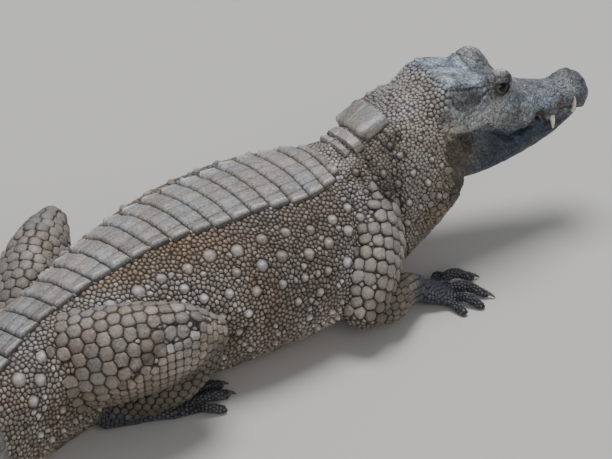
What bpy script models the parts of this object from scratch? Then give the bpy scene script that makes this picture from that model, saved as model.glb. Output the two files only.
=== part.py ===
"""An adult West African dwarf crocodile at rest, modelled as a still, life-size figure.

It lies on its belly with the head raised and turned a little to its right, the legs folded at its sides and
the tail swung round to its right. Units are metres. +X runs forward along the middle of the trunk, +Y is the
animal's left and +Z is up. The origin is on the floor under the middle of the trunk.
"""
from math import cos, pi, radians, sin

import bmesh
import bpy
import numpy as np

# ---- driving dimensions -------------------------------------------------------------------------------------
GAP = 0.0003                # clearance between pieces that touch
MM = 0.001                  # the skull's tables are in millimetres
TAIL_TIP = -0.970           # distance along the spine, 0 at the middle of the trunk
NECK_END = 0.300
CUTS = (-0.82, -0.66, -0.50, -0.36, -0.245, -0.10, 0.075, 0.185)     # where trunk and tail are divided
LENGTHS = ("tail_tip", "tail_fourth", "tail_third", "tail_second", "tail_root",
           "pelvis", "belly", "chest", "neck")
# where the points lie round a section of trunk or tail, in degrees; the crests rise at 60, 90 and 120
BODY_ANGLES = (0, 20, 40, 60, 75, 90, 105, 120, 140, 160, 180, 202, 225, 248, 270, 292, 315, 338)
BODY_STEP = 0.030           # about the distance from one section to the next
CRESTS_MEET = (-0.66, -0.56)                # between these the tail's two crests draw together into one

HEAD_PLACE = (0.2657, -0.0198, 0.1657)      # middle of the skull table's rear edge, at the height of the lips
HEAD_YAW, HEAD_PITCH, HEAD_ROLL = -15.0, -8.0, -4.0
SKULL_STEP = 14.0
SKULL_SIDES = 18

EYE_PLACE = (71.0, 33.0, 48.5)              # in the skull's own frame, millimetres
EYE_RADIUS = 11.5

# Trunk and tail: distance along the spine, half width, top, underside, height of the widest place as a share of
# the section, and how square the upper and the lower half are (2 is an ellipse). Undersides below the floor are
# laid flat on it.
TRUNK = (
    (-0.970, 0.003, 0.012, -0.001, 0.50, 2.0, 2.0),
    (-0.900, 0.008, 0.024, -0.001, 0.50, 2.0, 2.0),
    (-0.800, 0.014, 0.040, -0.001, 0.50, 2.0, 2.0),
    (-0.650, 0.023, 0.060, -0.002, 0.45, 2.0, 2.2),
    (-0.500, 0.034, 0.084, -0.003, 0.44, 2.2, 2.2),
    (-0.380, 0.047, 0.112, -0.004, 0.44, 2.4, 2.2),
    (-0.290, 0.060, 0.142, -0.004, 0.47, 2.5, 2.2),
    (-0.200, 0.071, 0.158, -0.004, 0.47, 2.5, 2.2),
    (-0.110, 0.093, 0.170, -0.004, 0.42, 2.4, 2.3),
    (0.000, 0.117, 0.174, -0.004, 0.40, 2.1, 2.3),
    (0.090, 0.113, 0.172, -0.003, 0.40, 2.1, 2.3),
    (0.150, 0.094, 0.174, 0.006, 0.44, 2.0, 2.2),
    (0.195, 0.086, 0.187, 0.023, 0.45, 1.9, 2.2),
    (0.235, 0.085, 0.207, 0.050, 0.45, 2.0, 2.1),
    (0.270, 0.074, 0.216, 0.074, 0.45, 2.1, 2.1),
    (0.300, 0.048, 0.203, 0.098, 0.45, 2.2, 2.2),
)
# The neck is bent to the right: its right side bulges, and its left side is stretched thin. Half width of the left
# side as a share of the right one's.
FAR_SIDE = ((-0.970, 1.00), (-0.250, 1.00), (-0.120, 1.05), (0.000, 1.07), (0.060, 1.07), (0.110, 0.96),
            (0.150, 0.84), (0.190, 0.69), (0.212, 0.66), (0.238, 0.92), (0.262, 1.00), (0.300, 1.00))
# Direction of the spine in degrees, 0 along +X, turning left.
HEADING = ((-0.970, 70.0), (-0.600, 40.0), (-0.300, 15.0), (-0.150, 7.0), (0.000, 0.0), (0.150, -5.0),
           (0.360, -10.0))
# Height of the tail's crest above its back.
CREST = ((-0.970, 0.003), (-0.900, 0.010), (-0.760, 0.016), (-0.620, 0.016), (-0.480, 0.010), (-0.360, 0.006),
         (-0.260, 0.000), (0.300, 0.000))

# Skull with the upper jaw: distance forward of the table's rear edge, height of the crown's middle, half width and
# height of the crown's edge, of the cheek and of the upper lip.
SKULL = (
    (-30, 38, 24, 34, 44, 14, 40, 0),
    (-12, 50, 34, 46, 54, 14, 50, 0),
    (0, 57, 38, 55, 57, 18, 54, 2),
    (22, 58, 37, 57, 57, 22, 55, 4),
    (43, 57, 34, 57, 53, 26, 51, 8),
    (58, 56, 34, 64, 49, 26, 47, 9),
    (72, 56, 35, 68, 46, 24, 44, -2),
    (86, 50, 32, 60.5, 44, 20, 42, -10),
    (101, 42.5, 24, 40, 41, 18, 39, -7),
    (122, 36.5, 20, 32.5, 37, 17, 36, 0),
    (131, 35, 18, 31, 35, 17, 34, 6),
    (144, 33, 17, 30, 34, 15, 33, -4),
    (156, 32.5, 16, 29.5, 31, 15, 29, 3),
    (171, 34, 15, 31, 27, 17, 25, 7),
    (184, 40, 18, 37, 29, 20, 26, 8),
    (197, 41, 16, 38, 25, 21, 22, 7),
    (208, 30, 9, 26, 14, 18, 12, 9),
)
# Lower jaw: distance forward, half width, height of its edge, of its widest place and of its underside.
JAW = (
    (-34, 38, 0, -18, -34),
    (-20, 50, 2, -26, -52),
    (0, 56, 2, -30, -62),
    (25, 56, 3, -30, -66),
    (50, 53, 6, -28, -65),
    (80, 47, -2, -26, -59),
    (93, 44, -10, -26, -55),
    (121, 39, 0, -20, -45),
    (140, 34, -3, -17, -37),
    (160, 29, 4, -11, -27),
    (180, 22, 7, -5, -14),
    (196, 13, 6, -1, -7),
)
# Teeth that stand outside the closed lips: base and tip in the skull's frame, radius at the base, and how far the
# middle bends outward.
LOWER_TOOTH = ((184, 20.5, -3), (178, 29.0, 27), 3.2, 4.8)
UPPER_TOOTH = ((149, 31, 4), (152, 35.5, -15), 2.8, 2.0)

# Limbs of the right side, mirrored for the left: centre, half thickness across and half thickness upward.
THIGH = ((-0.255, -0.035, 0.090, 0.036, 0.044), (-0.220, -0.066, 0.100, 0.042, 0.052),
         (-0.175, -0.092, 0.106, 0.040, 0.050), (-0.135, -0.108, 0.106, 0.032, 0.040),
         (-0.105, -0.115, 0.100, 0.019, 0.025))
SHANK = ((-0.114, -0.112, 0.086, 0.020, 0.024), (-0.140, -0.105, 0.062, 0.022, 0.026),
         (-0.168, -0.090, 0.042, 0.017, 0.020), (-0.195, -0.072, 0.026, 0.013, 0.016))
HIND_FOOT = ((-0.206, -0.066, 0.018, 0.010, 0.012), (-0.185, -0.070, 0.016, 0.014, 0.014),
             (-0.155, -0.078, 0.012, 0.017, 0.011), (-0.130, -0.085, 0.007, 0.019, 0.008),
             (-0.114, -0.090, 0.005, 0.016, 0.006))
UPPER_ARM = ((0.158, -0.050, 0.110, 0.034, 0.042), (0.137, -0.085, 0.092, 0.033, 0.040),
             (0.112, -0.108, 0.066, 0.031, 0.036), (0.095, -0.118, 0.042, 0.025, 0.028))
FOREARM = ((0.106, -0.117, 0.034, 0.017, 0.019), (0.125, -0.118, 0.038, 0.025, 0.027),
           (0.155, -0.112, 0.034, 0.019, 0.021), (0.182, -0.106, 0.024, 0.015, 0.016))
HAND = ((0.176, -0.107, 0.022, 0.012, 0.012), (0.196, -0.111, 0.015, 0.020, 0.012),
        (0.214, -0.117, 0.009, 0.022, 0.008), (0.224, -0.120, 0.006, 0.018, 0.006))
# Toes, inner to outer: root, knuckle and tip of each, thickness at the root, and whether it carries a claw.
FINGERS = (
    ((0.208, -0.103, 0.008), (0.226, -0.094, 0.012), (0.240, -0.092, 0.005), 0.0058, True),
    ((0.214, -0.108, 0.009), (0.240, -0.104, 0.015), (0.262, -0.112, 0.006), 0.0062, True),
    ((0.216, -0.116, 0.008), (0.238, -0.128, 0.012), (0.252, -0.146, 0.005), 0.0062, True),
    ((0.212, -0.124, 0.007), (0.226, -0.142, 0.010), (0.234, -0.158, 0.004), 0.0056, False),
    ((0.204, -0.127, 0.006), (0.209, -0.142, 0.008), (0.211, -0.155, 0.004), 0.0050, False),
)
TOES = (
    ((-0.125, -0.076, 0.007), (-0.105, -0.070, 0.009), (-0.088, -0.071, 0.005), 0.0066, True),
    ((-0.120, -0.083, 0.007), (-0.096, -0.081, 0.010), (-0.074, -0.084, 0.005), 0.0068, True),
    ((-0.120, -0.092, 0.007), (-0.098, -0.096, 0.009), (-0.078, -0.101, 0.005), 0.0066, True),
    ((-0.126, -0.099, 0.006), (-0.110, -0.109, 0.008), (-0.095, -0.118, 0.004), 0.0058, False),
)
CLAW_LENGTH = 0.012
LEFT_SPLAY = (-0.008, 0.040, 0.0)           # how much farther out the left knee and foot lie
LEFT_HIP = (0.013, -0.018, -0.040)          # and the flesh of the left hip, which is turned down and forward
LEFT_SHOULDER = (0.000, -0.010, -0.020)     # the left shoulder is drawn in and down, below the line of the back
LIMB_SIDES = 10
LIMB_RINGS = 6
TOE_SIDES = 5
CLAW_SIDES = 5

HIDE = (0.16, 0.135, 0.11)
JAW_HIDE = (0.07, 0.075, 0.085)
FOOT_HIDE = (0.06, 0.065, 0.075)
HORN = (0.32, 0.27, 0.20)


# ---- curves and frames --------------------------------------------------------------------------------------
def along(table, at):
    """A smooth curve (cubic, with the slope of its neighbours at each row) through a table, read at 'at'."""
    rows = np.asarray(table, float)
    x, v = rows[:, 0], rows[:, 1:]
    step = np.diff(x)
    slope = np.diff(v, axis=0) / step[:, None]
    m = np.vstack([slope[:1], np.zeros_like(v[1:-1]), slope[-1:]])
    m[1:-1] = (slope[:-1] * step[1:, None] + slope[1:] * step[:-1, None]) / (step[:-1] + step[1:])[:, None]
    at = np.clip(np.asarray(at, float), x[0], x[-1])
    i = np.clip(np.searchsorted(x, at, side="right") - 1, 0, len(x) - 2)
    t, h = ((at - x[i]) / step[i])[:, None], step[i][:, None]
    return ((2*t**3 - 3*t**2 + 1) * v[i] + (t**3 - 2*t**2 + t) * h * m[i]
            + (3*t**2 - 2*t**3) * v[i + 1] + (t**3 - t**2) * h * m[i + 1])


def spine(s):
    """Place and direction of the spine at the distances s: the heading summed up from the trunk's middle."""
    d = np.linspace(TAIL_TIP, NECK_END, 500)
    a = np.radians(along(HEADING, d)[:, 0])
    mean = (a[1:] + a[:-1]) / 2
    x = np.concatenate([[0], np.cumsum(np.cos(mean) * np.diff(d))])
    y = np.concatenate([[0], np.cumsum(np.sin(mean) * np.diff(d))])
    x, y = x - np.interp(0, d, x), y - np.interp(0, d, y)
    return np.interp(s, d, x), np.interp(s, d, y), np.interp(s, d, a)


def rounded(c, n):
    """A circle's cosine or sine made squarer: a superellipse of order n."""
    return np.sign(c) * np.abs(c) ** (2.0 / n)


def crest(s, angle):
    """Height of the tail's crest: two ridges 30 degrees off the midline, one ridge towards the tip."""
    double = np.clip((s - CRESTS_MEET[0]) / (CRESTS_MEET[1] - CRESTS_MEET[0]), 0, 1)[:, None]
    middle, left, right = (np.maximum(0, 1 - np.abs(angle - at)[None, :] / radians(14))
                           for at in (pi / 2, pi / 3, 2 * pi / 3))
    return along(CREST, s) * ((1 - double) * middle + double * (left + right))


def body_rings(s, grow=0.0):
    """Sections of trunk and tail at the distances s, square to the spine, and leaning with it in the neck."""
    x, y, a = spine(s)
    width, top, low, share, n_top, n_low = along(TRUNK, s).T
    rise = (along(TRUNK, s + MM)[:, 1:3] - along(TRUNK, s - MM)[:, 1:3]).sum(axis=1) / (4 * MM)
    onset = np.clip((s - 0.07) / 0.08, 0, 1)
    lean = np.arctan(rise) * onset * onset * (3 - 2 * onset)
    middle = low + (top - low) * share
    angle = np.radians(BODY_ANGLES)
    c, d = np.cos(angle)[None, :], np.sin(angle)[None, :]
    n = np.where(d >= 0, n_top[:, None], n_low[:, None])
    reach = np.where(d >= 0, (top - middle)[:, None], (middle - low)[:, None])
    out = (width[:, None] + grow) * rounded(c, n) * np.where(c > 0, along(FAR_SIDE, s), 1)
    up = (reach + grow) * rounded(d, n) + crest(s, angle)
    return np.stack([x[:, None] - out * np.sin(a)[:, None] - up * (np.sin(lean) * np.cos(a))[:, None],
                     y[:, None] + out * np.cos(a)[:, None] - up * (np.sin(lean) * np.sin(a))[:, None],
                     np.maximum(middle[:, None] + up * np.cos(lean)[:, None], -grow)], axis=-1)


def skull_axes():
    """Forward, left and up of the skull, turned by its yaw, pitch and roll."""
    yaw, pitch, roll = radians(HEAD_YAW), radians(HEAD_PITCH), radians(HEAD_ROLL)
    forward = np.array([cos(pitch) * cos(yaw), cos(pitch) * sin(yaw), sin(pitch)])
    level = np.array([-sin(yaw), cos(yaw), 0.0])
    left = level * cos(roll) + np.cross(forward, level) * sin(roll)
    return np.stack([forward, left, np.cross(forward, left)])


def from_skull(points):
    """Points in the skull's frame, in millimetres, as points in the world, in metres."""
    return np.asarray(points, float) * MM @ skull_axes() + np.array(HEAD_PLACE)


def closed_curve(half, count):
    """A smooth closed curve through a half section and its mirror image, as 'count' points per section."""
    ring = np.concatenate([half, half[:, -2:0:-1] * np.array([-1, 1])], axis=1)
    k = ring.shape[1]
    t = np.arange(count) * k / count
    i = np.floor(t).astype(int)
    f = (t - i)[:, None]
    a, b, c, d = (ring[:, (i + o) % k] for o in (-1, 0, 1, 2))
    return 0.5 * (2*b + (c - a) * f + (2*a - 5*b + 4*c - d) * f**2 + (3*b - a - 3*c + d) * f**3)


def section(*pairs):
    """Half a section from pairs of half width and height, top middle to bottom middle."""
    return np.stack([np.stack([np.broadcast_to(w, z.shape), z], axis=-1) for w, z in pairs], axis=1)


def skull_rings(x, grow=0.0):
    """Sections of the skull and upper jaw: crown, crown's edge, cheek, lip and palate."""
    crown, edge, edge_z, cheek, cheek_z, lip, lip_z = along(SKULL, x).T
    half = section((0.0, crown + grow), (edge * 0.6, (crown + edge_z) / 2 + 0.2 + grow),
                   (edge + grow, edge_z + grow),
                   (edge * 0.35 + cheek * 0.65 + grow, edge_z * 0.62 + cheek_z * 0.38),
                   (cheek + grow, cheek_z), (lip + grow, lip_z - grow),
                   (lip * 0.55, lip_z + 1 - grow), (0.0, lip_z + 2 - grow))
    return head_loft(x, closed_curve(half, SKULL_SIDES))


def jaw_rings(x, grow=0.0):
    """Sections of the lower jaw; its top reaches into the palate, which later cuts it to fit."""
    width, lip, bulge, low = along(JAW, x).T
    half = section((0.0, lip + 4), (width * 0.7, lip + 3.5), (width * 0.92 + grow, lip - 1), (width + grow, bulge),
                   (width * 0.72 + grow * 0.7, bulge * 0.25 + low * 0.75 - grow * 0.7), (0.0, low - grow))
    return head_loft(x, closed_curve(half, SKULL_SIDES))


def head_loft(x, outline):
    """Flat outlines (left, up) put at their places along the skull."""
    forward = np.broadcast_to(np.asarray(x, float)[:, None, None], outline.shape[:2] + (1,))
    return from_skull(np.concatenate([forward, outline], axis=-1))


def splayed(path, side, first=LEFT_SPLAY, last=LEFT_SPLAY, thick=1.0):
    """The right limb's points for either side; on the left they are shifted, outward, forward and up, by 'first'
    at the limb's root and 'last' at its end."""
    rows = np.array(path, float)
    if side < 0:
        share = np.linspace(0, 1, len(rows))[:, None]
        rows[:, :3] += (np.array(first) * (1 - share) + np.array(last) * share) * np.array([1, -1, 1])
        rows[:, 3:] *= thick
    return rows


def limb_rings(path, side, count, sides, grow=0.0, taper=0.0):
    """Elliptical sections square to a limb's path; 'taper' pulls both ends in to half, over one ring each."""
    rows = np.array(path, float) * np.array([1, side, 1, 1, 1])
    length = np.concatenate([[0], np.cumsum(np.linalg.norm(np.diff(rows[:, :3], axis=0), axis=1))])
    at = np.linspace(0, length[-1], count)
    read = along(np.column_stack([length, rows]), at)
    place, across, upward = read[:, :3], read[:, 3] + grow, read[:, 4] + grow
    along_path = np.gradient(place, axis=0)
    along_path /= np.linalg.norm(along_path, axis=1)[:, None]
    level = np.cross([0.0, 0.0, 1.0], along_path)
    level /= np.linalg.norm(level, axis=1)[:, None]
    normal = np.cross(along_path, level)
    if taper:
        tips = [place[:1] - along_path[:1] * (taper + grow), place[-1:] + along_path[-1:] * (taper + grow)]
        place = np.vstack([tips[0], place, tips[1]])
        level, normal = (np.vstack([v[:1], v, v[-1:]]) for v in (level, normal))
        across, upward = (np.concatenate([v[:1] / 2, v, v[-1:] / 2]) for v in (across, upward))
    angle = np.linspace(0, 2 * pi, sides, endpoint=False)
    rings = (place[:, None] + (across[:, None] * np.cos(angle))[..., None] * level[:, None]
             + (upward[:, None] * np.sin(angle))[..., None] * normal[:, None])
    rings[..., 2] = np.maximum(rings[..., 2], -grow)
    return rings


# ---- Blender objects ----------------------------------------------------------------------------------------
def material(name, colour, roughness):
    mat = bpy.data.materials.new(name)
    mat.use_nodes = True
    shader = mat.node_tree.nodes["Principled BSDF"]
    shader.inputs["Base Color"].default_value = (*colour, 1)
    shader.inputs["Roughness"].default_value = roughness
    mat.diffuse_color = (*colour, 1)
    return mat


def loft(name, rings, collection, colour=HIDE, roughness=0.7):
    """A closed solid through rings of points, with a flat face at each end.

    The sides are triangles split the same way everywhere, so that a piece and the space cut for it agree.
    """
    n, m = rings.shape[:2]
    index = np.arange(n * m).reshape(n, m)
    nxt = np.roll(index, -1, axis=1)
    corners = (index[:-1], nxt[:-1], nxt[1:], index[1:])
    sides = np.stack([np.stack([corners[k] for k in pick], axis=-1) for pick in ((0, 1, 2), (0, 2, 3))])
    mesh = bpy.data.meshes.new(name)
    mesh.from_pydata(rings.reshape(-1, 3).tolist(), [],
                     sides.reshape(-1, 3).tolist() + [index[0].tolist(), index[-1].tolist()])
    return finish(name, mesh, collection, colour, roughness)


def finish(name, mesh, collection, colour, roughness):
    """Merge what meets, turn the faces outward, shade smooth and link."""
    work = bmesh.new()
    work.from_mesh(mesh)
    bmesh.ops.remove_doubles(work, verts=work.verts, dist=0.00001)
    bmesh.ops.dissolve_degenerate(work, dist=0.00002, edges=work.edges)
    bmesh.ops.recalc_face_normals(work, faces=work.faces)
    work.to_mesh(mesh)
    work.free()
    mesh.shade_smooth()
    mesh.set_sharp_from_angle(angle=radians(40))
    mesh.materials.append(material(name, colour, roughness))
    piece = bpy.data.objects.new(name, mesh)
    collection.objects.link(piece)
    return piece


def ball(name, centre, radius, collection, colour=HORN, roughness=0.1):
    """A sphere from Blender's primitive, its centre given in the skull's frame."""
    bpy.ops.mesh.primitive_uv_sphere_add(segments=12, ring_count=8, radius=radius * MM,
                                         location=from_skull([centre])[0])
    piece = bpy.context.object
    piece.name = name
    piece.data.name = name
    piece.data.shade_smooth()
    piece.data.materials.append(material(name, colour, roughness))
    for other in piece.users_collection:
        other.objects.unlink(piece)
    collection.objects.link(piece)
    return piece


def spike_rings(base, tip, radius, side, bend):
    """Sections of a curved cone, for a tooth or a claw: its middle is pushed off the straight line by 'bend'."""
    base, tip, bend = (np.array(v, float) * np.array([1, side, 1]) for v in (base, tip, bend))
    share = np.linspace(0, 1, 4)[:, None]
    place = base + (tip - base) * share + bend * np.sin(pi * share)
    axis = (tip - base) / np.linalg.norm(tip - base)
    one = np.cross(axis, [1.0, 0.3, 0.2])
    one /= np.linalg.norm(one)
    two = np.cross(axis, one)
    angle = np.linspace(0, 2 * pi, CLAW_SIDES, endpoint=False)
    size = radius * np.sqrt(np.maximum(1 - share, 0.02))
    return place[:, None] + (size * np.cos(angle))[..., None] * one + (size * np.sin(angle))[..., None] * two


def combine(piece, tool, operation):
    """A Boolean modifier with Blender's exact solver."""
    step = piece.modifiers.new(operation.lower() + " " + tool.name, "BOOLEAN")
    step.operation = operation
    step.solver = "EXACT"
    step.object = tool


def hidden(cutter):
    cutter.hide_render = True
    cutter.display_type = "WIRE"
    return cutter


# ---- the animal ---------------------------------------------------------------------------------------------
def build_trunk(parts, cutters):
    """Tail lengths, pelvis, belly, chest and neck, parted by thin gaps; and the space they take up."""
    ends = [TAIL_TIP, *CUTS, NECK_END]
    pieces, stations = {}, []
    for name, start, stop in zip(LENGTHS, ends[:-1], ends[1:]):
        first = start + (GAP / 2 if start > TAIL_TIP else 0)
        count = max(4, round((stop - start) / BODY_STEP) + 1)
        stations.append(np.linspace(first, stop - GAP / 2, count))
        pieces[name] = loft(name, body_rings(stations[-1]), parts)
    return pieces, hidden(loft("trunk_space", body_rings(np.concatenate(stations), GAP), cutters))


def build_head(parts, cutters, neck):
    """Skull with the upper jaw, lower jaw, the teeth that show and the two eyes."""
    pieces = []
    for name, rings, table, colour in (("head", skull_rings, SKULL, HIDE), ("lower_jaw", jaw_rings, JAW, JAW_HIDE)):
        x = np.append(np.arange(table[0][0], table[-1][0], SKULL_STEP), table[-1][0])
        pieces.append(loft(name, rings(x), parts, colour))
        grow = GAP / MM
        around = np.concatenate([[x[0] - grow], x[1:-1], [x[-1] + grow]])
        pieces.append(hidden(loft(name + "_space", rings(around, grow), cutters)))
    skull, skull_space, jaw, jaw_space = pieces
    combine(jaw, skull_space, "DIFFERENCE")
    combine(neck, skull_space, "DIFFERENCE")
    combine(neck, jaw_space, "DIFFERENCE")
    for side, word in ((1, "right"), (-1, "left")):
        x, y, z = EYE_PLACE
        ball("eye_" + word, (x, -side * y, z), EYE_RADIUS, parts)
        socket = hidden(ball("socket_" + word, (x, -side * y, z), EYE_RADIUS + GAP / MM, cutters))
        combine(skull, socket, "DIFFERENCE")
    return skull, jaw


def build_limb(parts, cutters, trunk_space, side, word, names, paths, digits, digit_name):
    """Two limb segments and the foot with its toes; each is cut clear of the trunk and of what it hangs on."""
    spaces = [trunk_space]
    for name, path, colour in zip(names, paths, (HIDE, HIDE, FOOT_HIDE)):
        full = name + "_" + word
        piece = loft(full, limb_rings(path, side, LIMB_RINGS, LIMB_SIDES, 0, 0.006), parts, colour)
        if name == names[-1]:
            toes = [hidden(loft(full + "_toe_" + str(i), toe_rings(toe, side), cutters))
                    for i, toe in enumerate(digits)]
            for toe in toes:
                combine(piece, toe, "UNION")
        for space in spaces:
            combine(piece, space, "DIFFERENCE")
        spaces.append(hidden(loft(full + "_space", limb_rings(path, side, LIMB_RINGS, LIMB_SIDES, GAP, 0.006), cutters)))
    number = 0
    for toe in digits:
        if toe[4]:
            number += 1
            build_claw(parts, cutters, side, word, digit_name + "_" + str(number), toe)


def toe_rings(toe, side, grow=0.0):
    """A toe from its root over the knuckle to a rounded tip."""
    root, knuckle, tip, thick, _ = toe
    path = [(*root, thick, thick), (*knuckle, thick * 0.95, thick * 0.95), (*tip, thick * 0.72, thick * 0.72)]
    return limb_rings(path, side, 4, TOE_SIDES, grow, 0.002)


def build_claw(parts, cutters, side, word, name, toe):
    """A curved claw that grows out of the toe's tip and bends down to the floor."""
    knuckle, tip, thick = np.array(toe[1]), np.array(toe[2]), toe[3]
    ahead = tip - knuckle
    ahead[2] = 0
    ahead /= np.linalg.norm(ahead)
    base = tip + ahead * 0.001 + np.array([0, 0, 0.0012])
    point = np.array([*(tip + ahead * CLAW_LENGTH)[:2], 0.0012])
    full = "claw_" + name + "_" + word
    rings = spike_rings(base, point, thick * 0.42, side, (0, 0, 0.0016))
    rings[..., 2] = np.maximum(rings[..., 2], 0.0)
    claw = loft(full, rings, parts, HORN, 0.35)
    space = hidden(loft(full + "_space", toe_rings(toe, side, GAP), cutters))
    combine(claw, space, "DIFFERENCE")


def add_tooth(owner, other, name, tooth, cutters):
    """A tooth on each side, joined to the jaw that carries it; the other jaw has a notch that clears it."""
    base, tip, radius, bend = tooth
    for side, word in ((1, "right"), (-1, "left")):
        for extra, piece, operation in ((0.0, owner, "UNION"), (GAP / MM, other, "DIFFERENCE")):
            ends = [(end[0], -end[1], end[2]) for end in (base, tip)]
            rings = spike_rings(*ends, radius + extra, side, (0, -bend, 0))
            rings[-1] += (rings[-1].mean(axis=0) - rings[-2].mean(axis=0)) * extra * 0.1
            tool = loft("_".join((name, word, operation.lower())), from_skull(rings), cutters)
            combine(piece, hidden(tool), operation)


def main():
    for old in list(bpy.data.objects):
        bpy.data.objects.remove(old)
    parts = bpy.data.collections.new("dwarf_crocodile")
    cutters = bpy.data.collections.new("cutters")
    for collection in (parts, cutters):
        bpy.context.scene.collection.children.link(collection)
    pieces, trunk_space = build_trunk(parts, cutters)
    skull, jaw = build_head(parts, cutters, pieces["neck"])
    add_tooth(skull, jaw, "upper_tooth", UPPER_TOOTH, cutters)
    add_tooth(jaw, skull, "lower_tooth", LOWER_TOOTH, cutters)
    for side, word in ((1, "right"), (-1, "left")):
        leg = (splayed(THIGH, side, LEFT_HIP, LEFT_SPLAY, 0.92), splayed(SHANK, side), splayed(HIND_FOOT, side))
        toes = [(*splayed(toe[:3], side), *toe[3:]) for toe in TOES]
        build_limb(parts, cutters, trunk_space, side, word, ("thigh", "shank", "hind_foot"), leg, toes, "hind")
        build_limb(parts, cutters, trunk_space, side, word, ("upper_arm", "forearm", "hand"),
                   (splayed(UPPER_ARM, side, LEFT_SHOULDER, (0, 0, 0)), FOREARM, HAND), FINGERS, "front")


main()
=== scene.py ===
# %% [markdown]
# # A dwarf crocodile at rest
#
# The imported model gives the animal's solids, divided like a museum cast. This script dresses them. It pulls one
# skin over all the flesh, so that no seam shows, grows the scales on that skin as real little pieces of mesh, and
# sets the eyes, teeth and claws into it. Everything is in metres, in the same frame as the solids.

from math import cos, pi, radians, sin

import bmesh
import bpy
import numpy as np
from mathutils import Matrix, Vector
from mathutils.kdtree import KDTree


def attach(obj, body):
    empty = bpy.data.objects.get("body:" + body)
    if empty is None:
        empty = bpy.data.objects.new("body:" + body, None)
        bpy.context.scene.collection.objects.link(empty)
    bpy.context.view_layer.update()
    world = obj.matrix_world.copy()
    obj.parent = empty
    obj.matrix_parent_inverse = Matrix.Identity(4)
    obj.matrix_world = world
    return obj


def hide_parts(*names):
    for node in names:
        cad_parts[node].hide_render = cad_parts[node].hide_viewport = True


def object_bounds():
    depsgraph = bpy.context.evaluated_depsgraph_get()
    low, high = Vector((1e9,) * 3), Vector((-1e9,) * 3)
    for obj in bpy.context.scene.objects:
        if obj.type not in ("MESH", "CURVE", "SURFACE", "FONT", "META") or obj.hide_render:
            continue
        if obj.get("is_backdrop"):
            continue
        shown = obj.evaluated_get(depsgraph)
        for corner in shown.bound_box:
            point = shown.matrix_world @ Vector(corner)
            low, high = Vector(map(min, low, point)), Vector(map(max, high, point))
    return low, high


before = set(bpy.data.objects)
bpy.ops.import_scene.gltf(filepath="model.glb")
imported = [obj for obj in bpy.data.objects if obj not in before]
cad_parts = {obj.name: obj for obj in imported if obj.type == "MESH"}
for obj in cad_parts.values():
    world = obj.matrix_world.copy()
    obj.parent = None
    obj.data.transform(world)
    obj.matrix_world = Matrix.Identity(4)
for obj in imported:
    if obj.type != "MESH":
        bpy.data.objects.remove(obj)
cad_low, cad_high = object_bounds()
MM = 0.001
SIDES = {"right": 1, "left": -1}  # the right side lies at -Y, the left one at +Y
print("solids:", len(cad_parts), "box", [round(v, 3) for v in (*cad_low, *cad_high)])

# %% [markdown]
# ## The measures of the body
#
# A body like this is a stack of cross-sections along a bent spine. Each row of the table is one section that a
# sculptor would cut as a template: half width, top, underside, where the widest place lies, and how square the
# upper and lower halves are. Everything between the rows is a smooth curve through them, so a few rows give the
# whole animal. The skull and the jaw have tables of their own, in millimetres in the skull's own frame.

# %% Tables of sections
TAIL_TIP, NECK_END = -0.97, 0.3
TRUNK = (  # distance, half width, top, underside, where the widest place lies, squareness above and below
    (-0.97, 0.003, 0.012, -0.001, 0.5, 2.0, 2.0),
    (-0.9, 0.008, 0.024, -0.001, 0.5, 2.0, 2.0),
    (-0.8, 0.014, 0.04, -0.001, 0.5, 2.0, 2.0),
    (-0.65, 0.023, 0.06, -0.002, 0.45, 2.0, 2.2),
    (-0.5, 0.034, 0.084, -0.003, 0.44, 2.2, 2.2),
    (-0.38, 0.047, 0.112, -0.004, 0.44, 2.4, 2.2),
    (-0.29, 0.06, 0.142, -0.004, 0.47, 2.5, 2.2),
    (-0.2, 0.071, 0.158, -0.004, 0.47, 2.5, 2.2),
    (-0.11, 0.093, 0.17, -0.004, 0.42, 2.4, 2.3),
    (0.000, 0.117, 0.174, -0.004, 0.4, 2.1, 2.3),
    (0.09, 0.113, 0.172, -0.003, 0.4, 2.1, 2.3),
    (0.15, 0.094, 0.174, 0.006, 0.44, 2.0, 2.2),
    (0.195, 0.086, 0.187, 0.023, 0.45, 1.9, 2.2),
    (0.235, 0.085, 0.207, 0.05, 0.45, 2.0, 2.1),
    (0.27, 0.074, 0.216, 0.074, 0.45, 2.1, 2.1),
    (0.3, 0.048, 0.203, 0.098, 0.45, 2.2, 2.2),
)
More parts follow.
